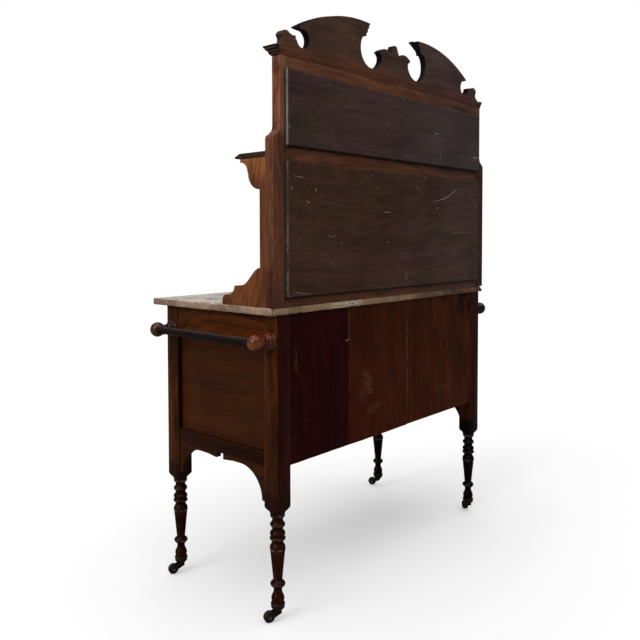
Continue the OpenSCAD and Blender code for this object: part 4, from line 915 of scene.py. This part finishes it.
def copy_of(node, name):
    """A merged copy of a CAD node's mesh, whose flat faces are whole again."""
    made = bpy.data.objects.new(name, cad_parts[node].data.copy())
    bpy.context.scene.collection.objects.link(made)
    made.data.materials.clear()
    edit(made, "VERT")
    bpy.ops.mesh.select_all(action="SELECT")
    bpy.ops.mesh.remove_doubles(threshold=ON_FACE)
    bpy.ops.mesh.dissolve_limited(angle_limit=math.radians(0.6))
    to_object_mode()
    return made


def spaced(low, high, step, margins=()):
    """Places of cuts between low and high: at the margins from both ends, then about a step apart."""
    inner = [low + m for m in margins] + [high - m for m in margins]
    start, end = low + max(margins, default=0), high - max(margins, default=0)
    count = max(1, round((end - start) / step))
    return inner + [start + (end - start) * i / count for i in range(1, count)]


def cut_block(name, low, high, cuts):
    """A block between two corners, cut into a grid by planes across X, Y and Z, to be worn."""
    to_object_mode()
    bpy.ops.object.select_all(action="DESELECT")
    bpy.ops.mesh.primitive_cube_add(size=1, location=(low + high) / 2, scale=high - low)
    made = bpy.context.object
    made.name = made.data.name = name
    bpy.ops.object.transform_apply(location=True, rotation=True, scale=True)
    edit(made, "VERT")
    for axis, places in enumerate(cuts):
        normal = [float(i == axis) for i in range(3)]
        for at in places:
            bpy.ops.mesh.select_all(action="SELECT")
            bpy.ops.mesh.bisect(plane_co=[at * n for n in normal], plane_no=normal)
    to_object_mode()
    return made


def closeness(distance, reach):
    """1 at no distance, and 0 from reach on."""
    return max(0, 1 - distance / reach)


def wander(point, scale, seed=0):
    """Smooth noise from -1 to 1, the same in every run."""
    return noise.noise(Vector(point) * scale + Vector((seed, seed * 0.7, -seed)))


def batter(obj, low, high, rule):
    """Moves the block's vertices as rule says, but never out of the block, and writes their wear.

    rule gets a vertex's place and how deep it lies in the block along X, Y and Z."""
    wear, chip = values(obj, "wear"), values(obj, "chip")
    for vertex in obj.data.vertices:
        at = vertex.co.copy()
        depth = [min(at[i] - low[i], high[i] - at[i]) for i in range(3)]
        moved, wear.data[vertex.index].value, chip.data[vertex.index].value = rule(at, depth)
        vertex.co = [min(max(moved[i], low[i]), high[i]) for i in range(3)]
    obj.data.update()


def place(obj, material, slot, body, node):
    """Gives a finished piece its finish and the body that it rides on, and hides the node that it stands for.
    slot is not used.
    """
    to_object_mode()
    obj.data.materials.clear()
    obj.data.materials.append(finish(material))
    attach(obj, body)
    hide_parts(node)


def keep(node, material):
    """A CAD node that shows as it is, with a better finish."""
    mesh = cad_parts[node].data
    mesh.materials.clear()
    mesh.materials.append(finish(material))


def dressed(node, material, slot, body=CASE, width=None, segments=2, angle=32, name=None):
    """A copy of a CAD node with softened, worn edges."""
    made = copy_of(node, name or f"eased_{node}")
    soften(made, width or sizes().wood_edge, segments, angle)
    smooth(made)
    place(made, material, slot, body, node)


def turned(node, material, slot, body=CASE, angle=35):
    """A copy of a turned CAD node, shaded as round."""
    made = copy_of(node, f"turned_{node}")
    smooth(made, angle)
    place(made, material, slot, body, node)


# ---- Operators ----

class Piece(bpy.types.Operator):
    """Base of the operators that make pieces"""

    bl_idname = "washstand.piece"
    bl_label = "Piece"
    bl_options = {"REGISTER", "UNDO"}

    def execute(self, context):
        self.make()
        to_object_mode()
        return {"FINISHED"}

    def make(self):
        raise NotImplementedError


class WASHSTAND_OT_posts(Piece):
    """The four corner posts with their turned legs"""

    bl_idname = "washstand.posts"
    bl_label = "Posts and legs"

    def make(self):
        for corner in CORNERS:
            node = f"post_{corner}"
            low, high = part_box(node)
            centre = (low + high) / 2
            square_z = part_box("side_brackets")[0].z
            neck_z = square_z - 0.03
            made = copy_of(node, f"turned_{node}")
            side = (high.x - low.x) / 2 - 0.0005

            def corner_edge(a, b):
                """The long upright corners of the square part."""
                middle = (a + b) / 2 - centre
                at_corner = min(abs(middle.x), abs(middle.y)) > side
                return at_corner and middle.z + centre.z > square_z and abs(a.z - b.z) > 0.01

            soften(made, sizes().wood_edge * 1.4, 4, 32, corner_edge)
            for point in values(made, "wear").data:
                point.value *= 0.1  # The corners are hardly worn
            note_turning(made, "z", centre, 4, 0.004, lambda at: at.z < neck_z)
            smooth(made, 38)
            place(made, "post", "post_wood", CASE, node)


class WASHSTAND_OT_sides(Piece):
    """Rails, panels and arched brackets of the two sides"""

    bl_idname = "washstand.sides"
    bl_label = "Sides"

    def make(self):
        dressed("side_top_rails", "rail", "rail_wood")
        dressed("side_bottom_rails", "low_rail", "rail_wood")
        dressed("side_brackets", "bracket", "rail_wood", width=sizes().wood_edge * 0.8)
        keep("side_panels", "panel")


class WASHSTAND_OT_back(Piece):
    """The three boards that close the back"""

    bl_idname = "washstand.back"
    bl_label = "Back boards"

    def make(self):
        low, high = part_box("back_boards")
        worn = sizes().board_edge
        seams = [low.x, low.x / 7, high.x / 2.1, high.x]
        gap, rim = 0.0003, 0.0012
        sawn_short = (0.0014, 0.0, 0.0006)
        boards = []
        for number, rise in enumerate(sawn_short):
            start = Vector((seams[number] + gap, low.y, low.z + rise))
            end = Vector((seams[number + 1] - gap, high.y, high.z))
            board = cut_block(f"back_board_{number + 1}", start, end, (
                spaced(start.x, end.x, 0.03, (rim, 0.0030)), [low.y + 0.004, high.y - rim],
                spaced(start.z, end.z, 0.007, (rim,)),
            ))

            def rule(at, depth):
                """Wears the long edges, and leaves the sawn ends a little uneven."""
                moved = at.copy()
                dent = max(0, wander(at, 60, number) - 0.1)
                edge = depth[0] < ON_FACE or depth[2] < ON_FACE
                from_middle = at.x - (start.x + end.x) / 2
                if at.y > high.y - ON_FACE:
                    cup = 0.0006 * (from_middle / (end.x - start.x) * 2) ** 2
                    moved.y -= cup + (worn * (0.5 + dent) if edge else 0)
                if depth[0] < ON_FACE and at.y > low.y + 0.005:
                    moved.x -= math.copysign(worn * (0.15 + 0.8 * dent), from_middle)
                if at.z - start.z < ON_FACE:
                    moved.z += 0.0008 * (1 + wander((at.x, 0, 0), 30, number))
                crest = at.y > high.y - ON_FACE and depth[0] < rim + 1e-4 and not edge
                return moved, float(crest), 0

            batter(board, start, end, rule)
            boards.append(board)
        only(boards[0])
        for board in boards[1:]:
            board.select_set(True)
        bpy.ops.object.join()
        boards[0].name = "worn_back_boards"
        smooth(boards[0], 30)
        place(boards[0], "back", "back_wood", CASE, "back_boards")


class WASHSTAND_OT_front(Piece):
    """Front rails, the upright between the drawers and the inner joinery"""

    bl_idname = "washstand.front"
    bl_label = "Front and inside"

    def make(self):
        dressed("front_rails", "front_x", "front_wood")
        dressed("drawer_muntin", "front_z", "front_wood")
        keep("inner_back_rails", "inner")
        keep("cabinet_floor", "inner")
        keep("drawer_bearers", "inner_deep")
        keep("splash_dowels", "inner")


class WASHSTAND_OT_drawers(Piece):
    """The two drawers with their knobs"""

    bl_idname = "washstand.drawers"
    bl_label = "Drawers"

    def make(self):
        for side in SIDES:
            body = f"drawer_{side}"
            dressed(f"drawer_front_{side}", "front_x", "front_wood", body)
            turned(f"drawer_knobs_{side}", "knob", "front_wood", body, 40)
            keep(f"drawer_box_{side}", "inner_deep")


class WASHSTAND_OT_doors(Piece):
    """The two panelled doors with their knobs and hinges"""

    bl_idname = "washstand.doors"
    bl_label = "Doors"

    def make(self):
        for side in SIDES:
            body = f"door_{side}"
            dressed(f"door_frame_{side}", "front_x", "front_wood", body)
            dressed(f"door_panel_{side}", "front_panel", "panel_wood", body, sizes().fine_edge)
            turned(f"door_knob_{side}", "knob", "front_wood", body, 40)
            keep(f"door_leaves_{side}", "brass")
        keep("post_leaves_and_pins", "brass")


class WASHSTAND_OT_marble(Piece):
    """The marble slab with its worn and chipped edges"""

    bl_idname = "washstand.marble"
    bl_label = "Marble top"

    def make(self):
        low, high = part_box("marble_top")
        size = sizes()
        middle = (low + high) / 2
        rim, grid = (0.0015, 0.0040, 0.0090), 0.0065
        slab = cut_block("chipped_marble_top", low, high, (
            spaced(low.x, high.x, grid, rim), spaced(low.y, high.y, grid, rim),
            spaced(low.z, high.z, 0.005, (0.0025,)),
        ))
        radius, rim_reach, notch_reach = 0.008, 0.012, 0.013
        break_middle, break_reach = 0.185, 0.085

        def rule(at, depth):
            """Rounds the front corners, notches the rear ones, and breaks the edges off in chips."""
            moved = at.copy()
            corner = Vector((high.x - radius, low.y + radius))
            out = Vector((abs(at.x), at.y)) - corner
            if out.x > 0 > out.y:
                grown = max(out.x, -out.y) / out.length
                moved.x = math.copysign(corner.x + out.x * grown, at.x)
                moved.y = corner.y + out.y * grown
            rear = closeness(high.y - at.y, rim_reach)
            side = closeness(high.x - abs(at.x), rim_reach)
            front = closeness(at.y - low.y, rim_reach)
            rim_share = max(rear, side, front)
            level = closeness(depth[2], 0.004)
            hit = max(0, wander(at, 70) - 0.12) + 0.6 * max(0, wander(at, 210, 7) - 0.1)
            # The rear edge is chipped most, the sides less and the front hardly
            bite = size.marble_chip * hit * (1 if rear >= side else 0.45 if front < 0.5 else 0.12)
            inward = size.marble_edge * 0.3 * level + bite * (0.35 + 0.65 * level)
            moved.y -= inward * rear ** 2 + 0.0009 * rear * max(0, wander(at, 120, 3))
            moved.x -= math.copysign(inward * side ** 2, at.x)
            moved.y += inward * front ** 2
            moved.z -= math.copysign(inward * 0.8 * rim_share ** 2 * level, at.z - middle.z)
            notch = closeness(math.hypot(high.x - abs(at.x), high.y - at.y), notch_reach)
            notch *= size.marble_notch * (1 if at.z > middle.z else 0.3)
            moved.x -= math.copysign(notch * 0.7, at.x)
            moved.y -= notch
            moved.z -= notch * 0.6 * level
            if at.z < middle.z:
                broken = rear * closeness(abs(at.x - break_middle), break_reach)
                broken *= 1 if depth[2] < ON_FACE else 0.4
                moved.z += size.marble_chip * broken * max(0, wander((at.x, 0, 0), 120, 4) + 0.15)
            return moved, level * rim_share, min(hit * 2.5 * rim_share, 1)

        batter(slab, low, high, rule)
        smooth(slab, 50)
        place(slab, "marble", "marble", CASE, "marble_top")


class WASHSTAND_OT_splash_frame(Piece):
    """Stiles and rails of the splash back"""

    bl_idname = "washstand.splash_frame"
    bl_label = "Splash frame"

    def make(self):
        for side in SIDES:
            dressed(f"splash_stile_{side}", "stile", "frame_wood")
        for level in ("bottom", "mid", "top"):
            dressed(f"splash_{level}_rail", "frame_rail", "frame_wood", width=sizes().fine_edge)


class WASHSTAND_OT_backing(Piece):
    """The two scratched boards that back the tiles"""

    bl_idname = "washstand.backing"
    bl_label = "Backing boards"

    def make(self):
        for level, material in (("lower", "backing_low"), ("upper", "backing_up")):
            node = f"{level}_backing_board"
            low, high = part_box(node)
            slope, chip, ledge_slope = sizes().backing_edge, sizes().backing_chip, 0.0026
            board = cut_block(f"worn_{node}", low, high, (
                spaced(low.x, high.x, 0.008, (0.0022, slope)), [low.y + 0.004],
                spaced(low.z, high.z, 0.006, (ledge_slope,)),
            ))

            def rule(at, depth):
                """Slopes the rear edges, wider at the two ends, and dents them."""
                moved = at.copy()
                rear = at.y > high.y - ON_FACE
                end, ledge = depth[0] < ON_FACE, depth[2] < ON_FACE
                dent = max(0, wander(at, 95) - 0.15) + 0.5 * max(0, wander(at, 300, 5))
                if end:
                    moved.x -= math.copysign(chip * dent * (1 if rear else 0.4), at.x)
                if ledge:
                    moved.z -= math.copysign(chip * 0.6 * dent, at.z - (low.z + high.z) / 2)
                if rear:
                    moved.y -= 0.0025 + chip * dent if end or ledge else 0.0003 * max(0, wander(at, 9, 2))
                on_slope = depth[0] < slope + 1e-4 or depth[2] < ledge_slope + 1e-4
                crest = rear and not (end or ledge) and on_slope
                return moved, float(crest), min(dent * 2, 1)

            batter(board, low, high, rule)
            smooth(board, 25)
            place(board, material, "backing_wood", CASE, node)


class WASHSTAND_OT_tiles(Piece):
    """The glazed tiles and their plaster beds"""

    bl_idname = "washstand.tiles"
    bl_label = "Tiles"

    def make(self):
        dressed("splash_tiles", "tile", "tile", width=sizes().tile_edge, segments=3, name="glazed_tiles")
        keep("tile_beds", "plaster")


class WASHSTAND_OT_wings(Piece):
    """The shaped wings and the shelf"""

    bl_idname = "washstand.wings"
    bl_label = "Wings and shelf"

    def make(self):
        dressed("splash_wings", "wing", "wing_wood", width=sizes().fine_edge, angle=50)
        dressed("splash_shelf", "shelf", "moulding_wood", width=sizes().fine_edge, angle=50)


class WASHSTAND_OT_crest(Piece):
    """Cornice, pediment and arch mouldings"""

    bl_idname = "washstand.crest"
    bl_label = "Cornice and pediment"

    def make(self):
        fine = sizes().fine_edge
        dressed("cornice", "cornice", "moulding_wood", width=fine * 0.7, angle=20)
        dressed("pediment", "pediment", "moulding_wood", width=fine, angle=60)
        dressed("arch_mouldings", "cornice", "moulding_wood", width=fine * 0.7, angle=28)


class WASHSTAND_OT_towel_rails(Piece):
    """Arms, balls and rods of the towel rails"""

    bl_idname = "washstand.towel_rails"
    bl_label = "Towel rails"

    def make(self):
        arms = copy_of("towel_arms", "turned_towel_arms")
        low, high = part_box("towel_arms")
        reach = (high.z - low.z) / 2
        for side in (-1, 1):
            for y in (low.y + reach, high.y - reach):
                note_turning(arms, "x", (0, y, low.z + reach), 5, 0.006,
                             lambda at: at.x * side > 0 and abs(at.y - y) < 1.5 * reach)
        smooth(arms, 35)
        place(arms, "ball", "ball_wood", CASE, "towel_arms")
        turned("towel_rods", "rod", "rod_wood")


class WASHSTAND_OT_casters(Piece):
    """Cups, forks, axles and wheels"""

    bl_idname = "washstand.casters"
    bl_label = "Casters"

    def make(self):
        turned("caster_cups", "cup", "cup_metal")
        for corner in [f"{end}_{side}" for end in reversed(ENDS) for side in SIDES]:
            fork = copy_of(f"caster_fork_{corner}", f"worn_caster_fork_{corner}")
            soften(fork, sizes().metal_edge, angle=50)
            smooth(fork, 35)
            place(fork, "iron", "fork_metal", f"caster_{corner}", f"caster_fork_{corner}")
            turned(f"caster_wheel_{corner}", "wheel", "wheel", f"wheel_{corner}")
            keep(f"caster_axle_{corner}", "axle")


class WASHSTAND_OT_stage(bpy.types.Operator):
    """Plain pale floor, soft light and the camera at the photograph's angle"""

    bl_idname = "washstand.stage"
    bl_label = "Stage"
    bl_options = {"REGISTER", "UNDO"}

    def execute(self, context):
        s = stage()
        to_object_mode()
        bpy.ops.object.select_all(action="DESELECT")
        bpy.ops.mesh.primitive_plane_add(size=s.floor_size, location=(0, 0, -0.0002))
        floor = context.object
        floor.name = "plain_floor"
        t, place_on = new_finish("plain floor")
        shown = times(s.floor_tone, 1 - s.floor_glow)
        faint = place_on.noise(1.5, 2).between(shown, times(shown, 0.98))
        seen = t.out("ShaderNodeLightPath", output="Is Camera Ray")
        glow = seen.between((0, 0, 0), times(s.floor_tone, s.floor_glow))
        colour = seen.between(times(s.floor_tone, s.floor_bounce), faint)
        floor.data.materials.append(shade(t, colour, 0.8, Emission_Color=glow, Emission_Strength=1))

        world = bpy.data.worlds.new("soft studio")
        world.use_nodes = True
        world.node_tree.nodes.clear()
        t = Tree(world.node_tree)
        glossy = t.out("ShaderNodeLightPath", output="Is Glossy Ray")
        seen = t.out("ShaderNodeLightPath", output="Is Camera Ray")
        strength = glossy * (s.gloss_light - s.fill_light) + s.fill_light | seen
        background = t.out("ShaderNodeBackground", {"Color": s.backdrop, "Strength": strength})
        t.node("ShaderNodeOutputWorld", {"Surface": background})
        context.scene.world = world

        for name, spot, spread, strength in (
            ("top light", (0.3, 0.4, 4.0), 75, s.top_light),
            ("key light", (3.4, -0.3, 2.2), 35, s.key_light),
        ):
            bpy.ops.object.light_add(type="SUN", location=spot)
            light = context.object
            light.name = name
            light.data.angle = math.radians(spread)
            light.data.energy = strength
            light.rotation_euler = (-Vector(spot)).to_track_quat("-Z", "Y").to_euler()

        bpy.ops.object.camera_add(location=s.camera_place, rotation=s.camera_turn)
        camera = context.object
        camera.name = "photo camera"
        camera.data.sensor_width = 36
        camera.data.lens = s.camera_lens
        camera.data.shift_x, camera.data.shift_y = s.camera_shift
        context.scene.camera = camera
        context.scene.view_settings.view_transform = "Standard"
        return {"FINISHED"}


class WASHSTAND_PT_pieces(bpy.types.Panel):
    """Lists the pieces of the washstand and what can be changed on them"""

    bl_idname = "WASHSTAND_PT_pieces"
    bl_label = "Washstand"
    bl_space_type = "VIEW_3D"
    bl_region_type = "UI"
    bl_category = "Washstand"

    def draw(self, context):
        layout = self.layout
        for operator in PIECES:
            layout.operator(operator.bl_idname)
        for settings in (colours(), sizes(), stage()):
            box = layout.box()
            for key in settings.bl_rna.properties.keys():
                if key not in ("rna_type", "name"):
                    box.prop(settings, key)


PIECES = (
    WASHSTAND_OT_posts, WASHSTAND_OT_sides, WASHSTAND_OT_back, WASHSTAND_OT_front, WASHSTAND_OT_drawers,
    WASHSTAND_OT_doors, WASHSTAND_OT_marble, WASHSTAND_OT_splash_frame, WASHSTAND_OT_backing,
    WASHSTAND_OT_tiles, WASHSTAND_OT_wings, WASHSTAND_OT_crest, WASHSTAND_OT_towel_rails,
    WASHSTAND_OT_casters, WASHSTAND_OT_stage,
)
SETTINGS = (
    ("washstand_colours", WASHSTAND_PG_colours),
    ("washstand_sizes", WASHSTAND_PG_sizes),
    ("washstand_stage", WASHSTAND_PG_stage),
)


def register():
    for name, kind in SETTINGS:
        bpy.utils.register_class(kind)
        setattr(bpy.types.Scene, name, bpy.props.PointerProperty(type=kind))
    for kind in (*PIECES, WASHSTAND_PT_pieces):
        bpy.utils.register_class(kind)


def unregister():
    for kind in (WASHSTAND_PT_pieces, *reversed(PIECES)):
        bpy.utils.unregister_class(kind)
    for name, kind in reversed(SETTINGS):
        delattr(bpy.types.Scene, name)
        bpy.utils.unregister_class(kind)


def main():
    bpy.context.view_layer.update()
    register()
    for operator in PIECES:
        family, call = operator.bl_idname.split(".")
        getattr(getattr(bpy.ops, family), call)()
    bpy.context.view_layer.update()


if __name__ == "__main__":
    main()
